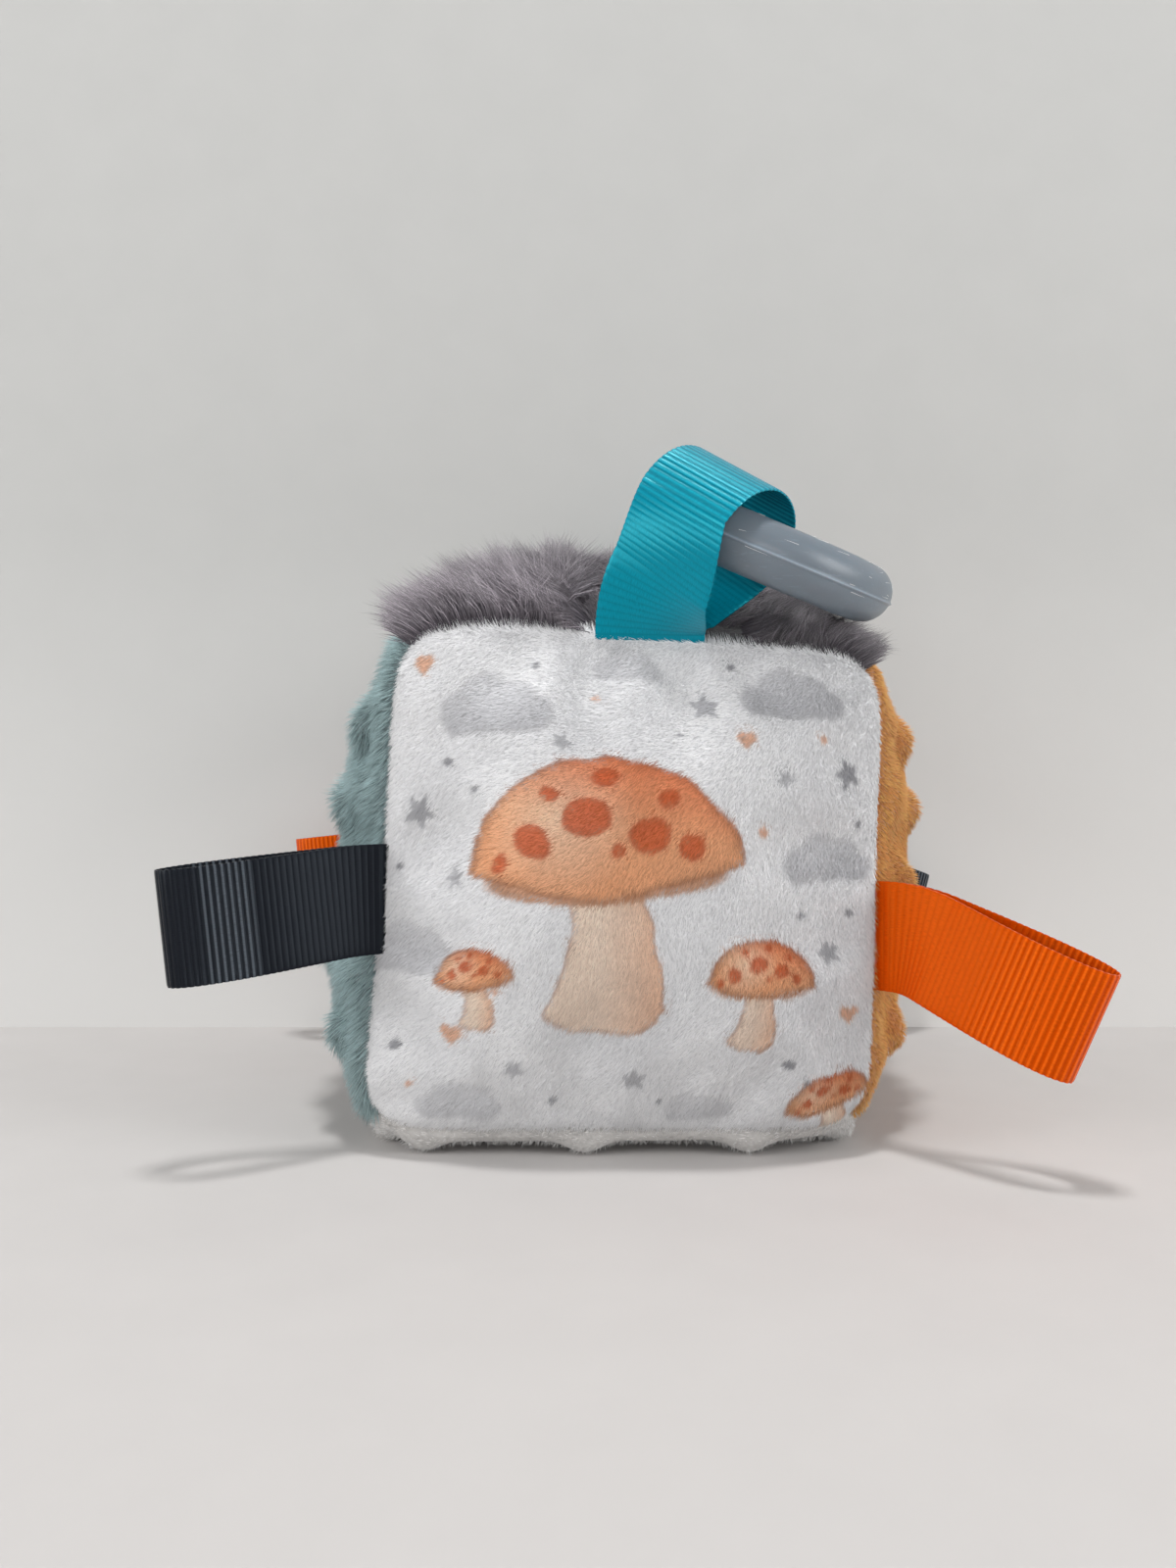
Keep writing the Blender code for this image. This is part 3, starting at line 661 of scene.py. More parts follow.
class FABRICBLOCK_OT_cover_panels(Operator):
    """Cuts the six panels from the stuffed form, raises their dots and gives them a cloth's thickness"""

    bl_idname = "fabricblock.cover_panels"
    bl_label = "Cover panels"

    def execute(self, context):
        form = bpy.data.objects[FORM]
        colours = context.scene.fabric_block.colours
        backing = backing_material("plush_ground")
        for name, slot in PANEL_SLOTS.items():
            panel = cut_panel(form, name)
            dotted = name in ("left", "right")
            apply_modifier(panel, "SUBSURF", levels=1 + dotted, render_levels=1 + dotted)
            mesh = panel.data
            flat = read_vectors(mesh, "flat") - np.array(MIDDLE)
            across, up = flat[:, ACROSS[name]], flat[:, UP[name]]
            spots = points_of(mesh)
            normals = normals_of(mesh)
            rise = EDGE_SINK * (smooth_step(HALF - np.maximum(np.abs(across), np.abs(up)), 0, 0.002) - 1)
            if name == "bottom":
                spots = self.rolled_rim(spots, across, up)
            elif dotted:
                rise = rise + DOT_SWELL * raised_dots(across, up)
            spots = spots + normals * rise[:, None]
            spots[:, 2] = np.maximum(spots[:, 2], FLOOR_CLEARANCE)
            place(mesh, spots)
            write_tint(mesh, self.tint(name, spots, across, up, colours))
            ground = mesh.copy()
            ground.name = name + "_ground"
            ground.use_fake_user = True
            turn_in(panel, name)
            apply_modifier(panel, "SOLIDIFY", thickness=CLOTH, offset=-1.0)
            smooth(panel.data)
            wear(panel, backing)
            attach(panel, "block")
            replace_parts(panel, name + "_panel")
        return {"FINISHED"}

    def rolled_rim(self, spots, across, up):
        """The base's edge bulges out over what the block stands on, with a lump at each of its dots."""
        part = np.clip((HALF - np.maximum(np.abs(across), np.abs(up))) / RIM, 0, 1)
        outward = unit(stacked(across**9, up**9, 0.0))
        beside = np.where(np.abs(up) > np.abs(across), across, up)
        dots = sum(np.exp(-(((beside - middle) / 0.0040) ** 2)) for middle in RIM_DOTS)
        dots = dots * np.exp(-(((part - 0.34) / 0.2) ** 2))
        wall = np.clip(part / RIM_WALL, 0, 1)
        floor = np.clip((part - RIM_WALL) / (1 - RIM_WALL), 0, 1)
        corner = 1 - smooth_step(np.abs(beside), 0.030, 0.047)
        bulge = (0.0024 * wall * (1 - floor) + 0.0004 * np.sin(math.pi * wall)) * corner + 0.0010 * dots
        moved = spots + outward * bulge[:, None]
        drop = 0.0014 * wall * (1 - floor)
        height = (spots[:, 2] - drop) * (1 - floor) + np.minimum(spots[:, 2], 0.0012) * floor
        moved[:, 2] = np.where(part < 1, height - 0.0026 * dots, spots[:, 2])
        return moved

    def tint(self, name, spots, across, up, colours):
        # painted shade: the ground under the pile is painted darker than the pile: the print by a tenth, the
        # plain colours by the shares below, which also vary a little at random
        if name in ("front", "back"):
            turned = across if name == "front" else -across
            return printed(turned * 1000, up * 1000, colours) * 0.9
        tone, painted_root_shade = {
            "left": (colours.sage, 0.55),
            "right": (colours.caramel, 0.6),
            "top": (colours.fur, 0.25),
            "bottom": (colours.base, 0.85),
        }[name]
        return np.array(tone) * (painted_root_shade * (1 + 0.15 * drift(spots, 0.006, 8)))[:, None]


# ---- the print: watercolour toadstools, clouds, stars and dots


def disc(x, y, cx, cy, rx, ry, turn=0.0):
    """Signed distance, in mm, to an ellipse, near enough for painting."""
    c, s = math.cos(turn), math.sin(turn)
    px, py = (x - cx) * c + (y - cy) * s, -(x - cx) * s + (y - cy) * c
    far = np.hypot(px / rx, py / ry)
    return (far - 1) * min(rx, ry)


def star(x, y, cx, cy, size, turn):
    px, py = x - cx, y - cy
    angle = np.arctan2(py, px) + turn
    far = np.hypot(px, py)
    fifth = 2 * math.pi / 5
    away = np.abs((angle % fifth) - fifth / 2) / (fifth / 2)
    return (far - size * (0.45 + 0.55 * away**1.3)) * 0.8


def heart(x, y, cx, cy, size):
    px, py = (x - cx) / size, (y - cy) / size
    px = np.abs(px)
    lobes = np.hypot(px - 0.42, py - 0.25) - 0.5
    point = px * 0.80 - (py + 0.95) * 0.60
    return np.minimum(lobes, np.maximum(point, py - 0.30)) * size


def washed(colour, tone, share):
    """Lays a share of a tone over the colours."""
    return colour * (1 - share)[:, None] + np.asarray(tone) * share[:, None]


def paint(colour, distance, tone, strength=1.0, edge=0.35, rim=0.45, line=0.5):
    """Lays a wash inside a shape: soft at its edge, where the pigment has gathered into a darker rim."""
    inside = np.clip(0.5 - distance / edge, 0, 1) * strength
    gathered = np.exp(-((distance + line * 0.5) / line) ** 2) * rim
    return washed(colour, np.array(tone) * (1 - gathered * 0.55)[:, None], inside)


def toadstool(colour, x, y, cx, cy, size, lean, colours):
    """A toadstool: a cream stem, a peach cap with rust spots, and a thin brown outline."""
    c, s = math.cos(lean), math.sin(lean)
    px, py = ((x - cx) * c + (y - cy) * s) / size, (-(x - cx) * s + (y - cy) * c) / size
    brown = shade(150, 92, 60)
    stem_wide = 0.17 + 0.05 * (0.2 - py) ** 2 * 4
    stem = np.maximum(np.abs(px + 0.04 * np.sin(py * 5)) - stem_wide, np.abs(py + 0.28) - 0.5) * size
    stem = np.maximum(stem, disc(px, py, 0, -0.1, 0.5, 0.72) * size)
    colour = paint(colour, stem, shade(250, 226, 206), 0.95, 0.6, 0.15)
    shaded = np.clip(0.5 - stem / 0.6, 0, 1) * np.clip((px + 0.02) * 3.0, 0, 1) * 0.55
    colour = washed(colour, colours.peach, shaded)
    colour = paint(colour, np.abs(stem + 0.1) - 0.22, brown, 0.55, 0.5, 0)
    under = disc(px, py, 0, 0.03, 0.62, 0.13) * size
    colour = paint(colour, under, shade(222, 168, 132), 0.95, 0.5, 0.4)
    cap = np.maximum(disc(px, py, 0, 0.05, 0.72, 0.58), -(py - 0.02 + 0.10 * np.cos(px * 3.0))) * size
    colour = paint(colour, cap, colours.peach, 1.0, 0.5, 0.5, 0.8)
    inside = np.clip(0.5 - cap / 0.6, 0, 1)
    glow = inside * np.clip(1 - np.hypot(px + 0.22, py - 0.34) / 0.42, 0, 1) * 0.75
    colour = washed(colour, shade(252, 222, 196), glow)
    top = inside * np.clip((py - 0.30 + 0.25 * px) * 2.2, 0, 1) * 0.7
    colour = washed(colour, np.array(colours.rust) * 1.25, top)
    for sx, sy, rx, ry in CAP_SPOTS:
        spot = np.maximum(disc(px, py, sx, sy, rx, ry, sx) * size, cap + 0.4)
        colour = paint(colour, spot, np.array(colours.rust) * 1.05, 0.85, 0.5, 0.35)
    return paint(colour, np.abs(cap + 0.05) - 0.24, brown, 0.6, 0.5, 0)


def cloud(colour, x, y, cx, cy, size, strength, colours):
    px, py = (x - cx) / size, (y - cy) / size
    shape = np.minimum.reduce([np.hypot(px - a, py - b) - r for a, b, r in PUFFS])
    shape = np.minimum(shape, np.maximum(np.abs(px) - 0.68, np.abs(py + 0.16) - 0.17))
    shape = np.maximum(shape, -(py + 0.33)) * size
    fade = strength * (0.45 + 0.55 * np.clip(0.7 - py, 0, 1))
    wash = np.array(colours.slate) * (1 - 0.3 * np.exp(-((shape + 0.3) / 0.6) ** 2))[:, None]
    colour = washed(colour, wash, smooth_step(-shape, -0.9, 0.9) * fade)
    return paint(colour, np.abs(shape + 0.1) - 0.10, shade(120, 112, 112), 0.35 * strength, 0.9, 0)


# The print's layout, in mm from the face's middle: where each motif is, and its size, turn and strength

CAP_SPOTS = (
    (-0.36, 0.22, 0.10, 0.085), (-0.08, 0.33, 0.13, 0.10), (0.24, 0.24, 0.11, 0.09), (0.02, 0.53, 0.07, 0.05),
    (0.46, 0.17, 0.06, 0.07), (-0.54, 0.12, 0.045, 0.05), (0.34, 0.42, 0.06, 0.045), (-0.27, 0.46, 0.05, 0.04),
    (0.08, 0.16, 0.04, 0.03),
)
PUFFS = ((-0.55, -0.05, 0.30), (-0.18, 0.16, 0.40), (0.25, 0.10, 0.34), (0.60, -0.08, 0.24))
CLOUDS = (
    (-27, 33, 13, 0.42), (30, 38, 12, 0.5), (-42, -12, 11, 0.36), (39, 6, 11, 0.46), (-2, 43, 8, 0.3),
    (-30, -43, 10, 0.34), (16, -44, 8, 0.3),
)
STARS = (
    (-42, 15, 3.6, 0.2, 0.6), (13, 36, 2.8, 0.9, 0.55), (42, 24, 3.2, 0.5, 0.7), (-14, 27, 2.2, 0.1, 0.45),
    (40, -12, 2.6, 0.7, 0.6), (-20, -34, 2.4, 0.3, 0.5), (3, -36, 2.6, 1.0, 0.5), (-34, 2, 2.0, 0.6, 0.5),
    (28, 22, 2.0, 0.3, 0.5),
)
HEARTS = ((-43, 43, 2.6), (21, 29, 2.0), (-32, -27, 2.4), (44, -24, 2.2))
GREY_DOTS = (
    (-36, 24, 1.1), (-30, 18, 0.8), (33, -4, 0.9), (45, 14, 0.8), (-44, -30, 1.2), (-12, -42, 1.0),
    (8, -42, 0.7), (32, -34, 1.3), (36, -38, 1.0), (-20, 42, 0.9), (44, -4, 1.0), (-46, 4, 0.8),
    (18, 44, 0.8), (8, 30, 0.6),
)
PEACH_DOTS = ((-8, 36, 0.9), (24, 12, 1.0), (-24, -18, 0.8), (-40, -38, 0.8), (36, 30, 0.9))
TOADSTOOLS = ((25, -18, 15, -0.12), (-5, 2, 36, 0.06), (-28, -17, 11, 0.16), (42, -44, 13, 0.3))


def printed(x, y, colours):
    """The print's colour at points of the face, in mm from its middle."""
    where = stacked(x, y, 0.0)
    x = x + 0.5 * drift(where, 5.0, 21) + 0.15 * drift(where, 1.4, 22)
    y = y + 0.5 * drift(where, 5.0, 23) + 0.15 * drift(where, 1.4, 24)
    mottle = drift(where, 6.0, 25)
    colour = np.tile(np.array(colours.white), (len(x), 1))
    for cx, cy, size, strength in CLOUDS:
        colour = cloud(colour, x, y, cx, cy, size, strength, colours)
    for cx, cy, size, turn, strength in STARS:
        colour = paint(colour, star(x, y, cx, cy, size, turn), colours.slate, strength, 0.5, 0.5)
    for cx, cy, size in HEARTS:
        colour = paint(colour, heart(x, y, cx, cy, size), colours.peach, 0.8, 0.5, 0.4)
    for tone, dots in ((colours.slate, GREY_DOTS), (colours.peach, PEACH_DOTS)):
        for cx, cy, radius in dots:
            colour = paint(colour, disc(x, y, cx, cy, radius, radius * 0.85), tone, 0.75, 0.4, 0.3)
    for cx, cy, size, lean in TOADSTOOLS:
        colour = toadstool(colour, x, y, cx, cy, size, lean, colours)
    return colour * (1 + 0.02 * mottle)[:, None]


# ---- pile and fur


def scatter(mesh, count, rng):
    """Random points spread evenly over a mesh, with their normals and their places on the unfolded cube."""
    mesh.calc_loop_triangles()
    corners = np.empty(len(mesh.loop_triangles) * 3, np.int32)
    mesh.loop_triangles.foreach_get("vertices", corners)
    corners = corners.reshape(-1, 3)
    spots, normals, flat = points_of(mesh), normals_of(mesh), read_vectors(mesh, "flat")
    a, b, c = (spots[corners[:, k]] for k in range(3))
    areas = np.linalg.norm(np.cross(b - a, c - a), axis=1)
    chosen = rng.choice(len(corners), count, p=areas / areas.sum())
    r1, r2 = np.sqrt(rng.random(count)), rng.random(count)
    weights = stacked(1 - r1, r1 * (1 - r2), r1 * r2)
    corners = corners[chosen]
    spots, normals, flat = (np.einsum("ij,ijk->ik", weights, of[corners]) for of in (spots, normals, flat))
    return spots, unit(normals), flat


def clumps(roots, count, rng):
    """The clump that each fibre belongs to, as the index of the fibre at its middle."""
    middles = rng.choice(len(roots), count, replace=False)
    tree = KDTree(count)
    for index, middle in enumerate(middles):
        tree.insert(roots[middle], index)
    tree.balance()
    return np.array([middles[tree.find(root)[1]] for root in roots])


def fibres(
    name, roots, first, last, length, width, stops, root_tint, tip_tint, material, facing, soft, body="block"
):
    """One piece of many closed, tapering, three-sided fibres that bend from a first to a last direction.

    Fine fibres let light through, so their normals lean towards the cloth's outward side, the more the softer.
    """
    count, rings = len(roots), len(stops)
    spin = np.cross(last, [0.31, 0.57, 0.76])
    verts = np.empty((count, rings * 3 + 1, 3))
    normals = np.empty((count, rings * 3 + 1, 3))
    along = np.empty((count, rings * 3 + 1))
    for ring, stop in enumerate(stops):
        centre = roots + length[:, None] * (first * stop + (last - first) * stop * stop / 2)
        tangent = unit(first + (last - first) * stop)
        side = unit(np.cross(tangent, spin))
        other = np.cross(tangent, side)
        radius = (width / 2 * (1 - stop) ** 0.55)[:, None]
        for corner in range(3):
            angle = 2 * math.pi * corner / 3
            away = math.cos(angle) * side + math.sin(angle) * other
            verts[:, ring * 3 + corner] = centre + radius * away
            normals[:, ring * 3 + corner] = unit(away * (1 - soft) + facing * soft)
            along[:, ring * 3 + corner] = stop
    verts[:, -1] = roots + length[:, None] * (first + last) / 2
    normals[:, -1] = unit(last * (1 - soft) + facing * soft)
    along[:, -1] = 1
    verts[:, :, 2] = np.maximum(verts[:, :, 2], 0.0001 + along * 0.0003)
    pattern = [(0, 2, 1)]
    for ring in range(rings - 1):
        low = ring * 3
        for k in range(3):
            a, b = low + k, low + (k + 1) % 3
            pattern += [(a, b, b + 3), (a, b + 3, a + 3)]
    top = (rings - 1) * 3
    pattern += [(top + k, top + (k + 1) % 3, rings * 3) for k in range(3)]
    pattern = np.array(pattern, np.int32)
    faces = (pattern[None] + (np.arange(count, dtype=np.int32) * (rings * 3 + 1))[:, None, None]).reshape(-1, 3)
    mesh = bpy.data.meshes.new(name)
    mesh.vertices.add(count * (rings * 3 + 1))
    mesh.vertices.foreach_set("co", verts.astype(np.float32).ravel())
    mesh.loops.add(len(faces) * 3)
    mesh.loops.foreach_set("vertex_index", faces.ravel())
    mesh.polygons.add(len(faces))
    mesh.polygons.foreach_set("loop_start", np.arange(0, len(faces) * 3, 3, dtype=np.int32))
    mesh.polygons.foreach_set("use_smooth", np.ones(len(faces), bool))
    mesh.update(calc_edges=True)
    write_vectors(mesh, "custom_normal", normals.reshape(-1, 3))
    write_floats(mesh, "along", along.ravel())
    blend = smooth_step(along, 0.0, 1.0)[:, :, None]
    write_tint(mesh, (root_tint[:, None] * (1 - blend) + tip_tint[:, None] * blend).reshape(-1, 3))
    mesh.materials.append(material)
    piece = new_object(name, mesh)
    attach(piece, body)
    return piece


def laid(direction, normals):
    """The direction pressed flat onto the surface."""
    flat = direction - normals * np.sum(direction * normals, axis=1, keepdims=True)
    return unit(flat)


def leaning(normals, flat_way, angle):
    return unit(normals * np.cos(angle)[:, None] + flat_way * np.sin(angle)[:, None])


def gathered(roots, last, length, middle, pull):
    """Turns each fibre's end towards the tip of its clump's middle fibre."""
    tips = roots + last * length[:, None]
    aim = unit(tips[middle] - roots)
    return unit(last * (1 - pull)[:, None] + aim * pull[:, None])


class FABRICBLOCK_OT_printed_pile(Operator):
    """Grows the short pile of the printed plush on the front and the back"""

    bl_idname = "fabricblock.printed_pile"
    bl_label = "Printed plush pile"

    def execute(self, context):
        block = context.scene.fabric_block
        material = pile_material("printed_plush", 0.42, 0.2)
        for name, pieces, count in (("front", 3, 46000), ("back", 1, 38000)):
            mesh = bpy.data.meshes[name + "_ground"]
            for part in range(pieces):
                rng = np.random.default_rng(block.pile.seed + 10 * part + (name == "back"))
                self.grow(name, part, mesh, count, block, material, rng)
        return {"FINISHED"}

    def grow(self, name, part, mesh, count, block, material, rng):
        roots, normals, flat = scatter(mesh, count, rng)
        offsets = flat - np.array(MIDDLE)
        turned = offsets[:, 0] if name == "front" else -offsets[:, 0]
        colour = printed(turned * 1000, offsets[:, 2] * 1000, block.colours)
        swirl = -2.2 + 0.55 * drift(roots, 0.022, 31) + 0.35 * drift(roots, 0.006, 32)
        swirl = swirl + rng.normal(0, 0.22, count)
        way = laid(stacked(np.cos(swirl), 0.0, np.sin(swirl)), normals)
        lean = 1.05 + 0.22 * drift(roots, 0.014, 33) + rng.normal(0, 0.12, count)
        over = smooth_step(offsets[:, 2], HALF - 0.0022, HALF)
        way = laid(unit(way * (1 - 0.8 * over)[:, None] + np.outer(over, [0, 0, 1])), normals)
        first = leaning(normals, way, np.clip(lean - 0.45, 0.2, 1.2))
        last = leaning(normals, way, np.clip(lean + 0.25, 0.4, 1.42))
        length = block.pile.plush * rng.uniform(0.75, 1.25, count) * (1 + 0.6 * over)
        last = gathered(roots, last, length, clumps(roots, 5200, rng), np.full(count, 0.35))
        width = rng.uniform(0.00014, 0.00021, count)
        # painted light and shade: patches of lighter and darker pile where the nap would catch or miss the
        # light; each fibre also differs a little at random
        painted_nap_shading = ((0.05, 0.003, 34), (0.08, 0.012, 35), (0.05, 0.03, 36))
        bright = (1 + sum(share * drift(roots, size, seed) for share, size, seed in painted_nap_shading))[:, None]
        bright = bright + rng.normal(0, 0.08, count)[:, None]
        # painted shade: the roots are a little darker than the tips
        fibres(
            f"{name}_pile_{part + 1}", roots, first, last, length, width, (0.0,),
            colour * bright * 0.9, np.minimum(colour * bright * 1.03, 0.97), material,
            normals, 0.62,
        )


class FABRICBLOCK_OT_dimple_pile(Operator):
    """Grows the clumped pile of the dimple plush on the left, the right and the base"""

    bl_idname = "fabricblock.dimple_pile"
    bl_label = "Dimple plush pile"

    def execute(self, context):
        block = context.scene.fabric_block
        colours = block.colours
        for name, tone, share, count, soft, pull, painted_root_shade in (
            ("left", colours.sage, 1.05, 43000, 0.22, 1.0, 0.38),
            ("right", colours.caramel, 0.5, 45000, 0.35, 0.45, 0.38),
            ("bottom", colours.base, 0.45, 16000, 0.6, 1.0, 0.8),
        ):
            slot = PANEL_SLOTS[name]
            material = pile_material(slot, 0.5, 0.15, tuple(0.5 + 0.5 * np.array(tone)))
            rng = np.random.default_rng(block.pile.seed + len(name) * 100)
            roots, normals, _ = scatter(bpy.data.meshes[name + "_ground"], count, rng)
            swirl = -1.75 + 0.6 * drift(roots, 0.017, 41) + rng.normal(0, 0.2, count)
            lean = 0.75 + 0.3 * drift(roots, 0.010, 42) + rng.normal(0, 0.12, count)
            way = stacked(0.0, np.cos(swirl), np.sin(swirl))
            if name == "bottom":
                way = np.roll(way, -1, axis=1)
                lean = np.maximum(lean, 0.9)
            way = laid(way, normals)
            first = leaning(normals, way, np.clip(lean - 0.5, 0.1, 1.2))
            last = leaning(normals, way, np.clip(lean + 0.4, 0.3, 1.45))
            length = block.pile.dimple * share * rng.uniform(0.75, 1.2, count)
            middle = clumps(roots, 2600, rng)
            last = gathered(roots, last, length, middle, rng.uniform(0.3, 0.65, count) * pull)
            width = rng.uniform(0.00018, 0.00028, count)
            bright = 1 + 0.12 * drift(roots, 0.004, 43) + 0.12 * drift(roots, 0.0014, 44)
            colour = np.array(tone) * (bright + rng.normal(0, 0.15, count))[:, None]
            # painted shade and light: the roots are painted darker, as in the pile's shade, and the tips
            # lighter, as if lit
            fibres(
                name + "_pile", roots, first, last, length, width, (0.0,),
                colour * painted_root_shade, np.minimum(colour * 1.42, 0.97), material, normals, soft,
            )
        return {"FINISHED"}


class FABRICBLOCK_OT_top_fur(Operator):
    """Grows the long fur of the top face"""

    bl_idname = "fabricblock.top_fur"
    bl_label = "Top fur"

    def execute(self, context):
        block = context.scene.fabric_block
        material = pile_material("grey_fur", 0.42, 0.25, specular=0.5)
        mesh = bpy.data.meshes["top_ground"]
        for part, count in enumerate(FUR_FIBRES):
            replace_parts(self.grow(part, count, mesh, block, material), "top_fur")
        return {"FINISHED"}

    def grow(self, part, count, mesh, block, material):
        rng = np.random.default_rng(block.pile.seed + 1000 + part)
        roots, normals, flat = scatter(mesh, count, rng)
        room = fur_room(roots)
        keep = room > 0
        roots, normals, flat, room = roots[keep], normals[keep], flat[keep], room[keep]
        count = len(roots)
        x, y = roots[:, 0], roots[:, 1]
        right = smooth_step(x, 0.004, 0.024)
        left = smooth_step(-x, 0.0, 0.040)
        front = smooth_step(-y, 0.036, 0.049)
        back = smooth_step(y, 0.020, 0.050)
        way = stacked(
            right * 1.1 - left * 0.9 - 0.12,
            0.40 + 0.6 * back - 1.25 * front * (1 - right) - 0.3 * right,
            0.0,
        )
        middle = clumps(roots, 1100, rng)
        stir = rng.normal(0, 0.42, (count, 2))[middle]
        way[:, 0] += 0.40 * drift(roots, 0.012, 51) + stir[:, 0]
        way[:, 1] += 0.40 * drift(roots, 0.012, 53) + stir[:, 1]
        for side, low, high in PARTINGS:
            inward = HALF - side * y
            aside = np.minimum(x - low, high - x)
            near = (1 - smooth_step(np.abs(x - (low + high) / 2) - (high - low) / 2, 0.0, 0.006)) * (
                1 - smooth_step(inward, 0.009, 0.022)
            )
            beside = np.sign(x - (low + high) / 2) * (aside < 0)
            way[:, 0] += near * 1.6 * beside
            way[:, 1] -= near * 1.2 * side * (aside >= 0)
        way = laid(unit(way), normals)
        edge = smooth_step(HALF - np.maximum(np.abs(flat[:, 0]), np.abs(flat[:, 1])), 0.0, 0.005)
        length = block.pile.fur * rng.uniform(0.62, 1.08, count) * (1 - 0.2 * right) * (0.62 + 0.38 * edge)
        length *= 1 + 0.12 * left
        height = np.minimum(room * rng.uniform(0.75, 1.06, count), length * 0.99)
        lean = np.arccos(np.clip(height / length, 0.05, 0.995))
        lean = np.clip(lean + 0.12 * drift(roots, 0.009, 55) + rng.normal(0, 0.06, count), 0.08, 1.5)
        first = leaning(normals, way, np.clip(lean - 0.38, 0.03, 1.35))
        last = leaning(normals, way, np.clip(lean + 0.38, 0.2, 1.62))
        last = gathered(roots, last, length, middle, rng.uniform(0.45, 0.92, count))
        width = rng.uniform(0.00014, 0.00024, count)
        bright = (1 + 0.13 * drift(roots, 0.006, 56) + rng.normal(0, 0.13, count))[:, None]
        colour = np.array(block.colours.fur) * bright * (1 - 0.38 * right)[:, None]
        # painted light and shade: the roots are painted dark, the tips lighter, and three tips in ten far paler
        # as painted glints
        pale = rng.random(count) < 0.3
        tip = colour * np.where(pale, 2.9, 1.25)[:, None]
        return fibres(
            f"top_fur_{part + 1}", roots, first, last, length, width, (0.0, 0.5),
            colour * np.array([0.36, 0.33, 0.39]), np.minimum(tip, 0.9), material,
            normals, 0.3,
        )


def fur_room(roots):
    """How high the fur may stand at its roots: as high as it grows, pressed flat under the ring, and parted at
    each loop, where it is 0 or less."""
    x, y = roots[:, 0], roots[:, 1]
    away = roots - RING_MIDDLE
    under = -(away @ np.array(RING_FLAT) + RING_TUBE / 2 + 0.0003) / RING_FLAT.z
    beside = np.hypot(away[:, 0], away[:, 1]) - RING_ACROSS / 2
    room = np.minimum(FUR_HEIGHT * (1 + 0.18 * smooth_step(-x, 0.02, 0.045)), under + np.maximum(beside, 0))
    for side, low, high in PARTINGS:
        inward = HALF - side * y
        aside = np.maximum(np.maximum(low - x, x - high), 0)
        low_room = 0.0012 + 0.22 * np.maximum(inward - FUR_PARTING, 0) + 1.1 * aside
        inside = (aside <= 0) & (inward < FUR_PARTING - 0.003)
        room = np.where(inside, 0, np.minimum(room, low_room))
    return room


# ---- ribbon loops


PLAIN = dict(reach=0.0415, gap=0.009, twist=0, pinch=2, deep_ribs_and_painted_glint=(0.45, 0.7, 1.1))
LOOPS = {  # as in the part's source; the span of three shares of the reach gives where the ribs deepen and a painted highlight on their crests fades in, and where that highlight ends
    "front_left": dict(
        PLAIN, pivot=(-0.050849, -0.050849, 0.052), out=(-0.90631, -0.42262, 0), across=(0.42262, -0.90631, 0),
        along=(0, 0, 1), droop=6, finish="charcoal", deep_ribs_and_painted_glint=(0.58, 0.64, 0.86),
    ),
    "front_right": dict(
        PLAIN, pivot=(0.050849, -0.050849, 0.0445), out=(0.79864, -0.60182, 0), across=(0.60182, 0.79864, 0),
        along=(0, 0, 1), droop=22, finish="orange",
    ),
    "back_left": dict(
        PLAIN, pivot=(-0.050849, 0.050849, 0.052), out=(-0.99863, 0.05234, 0), across=(-0.05234, -0.99863, 0),
        along=(0, 0, 1), droop=6, finish="orange",
    ),
    "back_right": dict(
        PLAIN, pivot=(0.050849, 0.050849, 0.048), out=(0.94552, 0.32557, 0), across=(-0.32557, 0.94552, 0),
        along=(0, 0, 1), droop=17, finish="charcoal",
    ),
    "front_top": dict(
        PLAIN, pivot=(0.003, -0.050849, 0.104849), out=(0, -0.06976, 0.99756), across=(0, -0.99756, -0.06976),
        along=(1, 0, 0), reach=0.037, gap=0.025, droop=-37, twist=35, pinch=1, finish="teal",
    ),
    "back_top": dict(
        PLAIN, pivot=(0.0117, 0.050849, 0.104849), out=(0, 0, 1), across=(0, -1, 0),
        along=(1, 0, 0), droop=0, finish="teal",
    ),
}
APART = 0.00033  # half the distance between the two layers where they are sewn together
SEWN = 0.0055  # how far the ends reach into the seam
TIP_STATIONS = 60  # on each side of the fold's tip, where the layers are not held apart
COLUMNS = (-1, -0.975, -0.93, -0.7, -0.42, -0.14, 0.14, 0.42, 0.7, 0.93, 0.975, 1.0)  # across the ribbon
WOVEN = 0.92  # share of the ribbon's thickness that its woven ribs take up
GLINTS = {
    "teal": ((0.1, 0.92, 1.0), 0.8),
    "orange": ((1.0, 0.45, 0.05), 0.35),
    "charcoal": ((0.75, 0.88, 1.0), 0.14),
}


def lay(out, across, along, droop, twist, reach):
    """Bends and twists a straight loop's points, as in the part's source."""
    part = np.clip(out / BEND_LENGTH, 0, 1)
    bend = droop * part
    line = stacked(out, 0.0, 0.0)
    if droop:
        radius = BEND_LENGTH / droop
        curved = stacked(radius * np.sin(bend), 0.0, radius * (np.cos(bend) - 1))
        rest = (out - BEND_LENGTH * part)[:, None]
        curved = curved + rest * stacked(np.cos(bend), 0.0, -np.sin(bend))
        line = np.where((out > 0)[:, None], curved, line)
    turn = (twist * np.clip(out / (reach * TWIST_SHARE), 0, 1))[:, None]
    wide = stacked(np.sin(bend), 0.0, np.cos(bend))
    side = np.array([[0.0, 1.0, 0.0]])
    return (
        line
        + along[:, None] * (np.cos(turn) * wide + np.sin(turn) * side)
        + across[:, None] * (np.cos(turn) * side - np.sin(turn) * wide)
    )


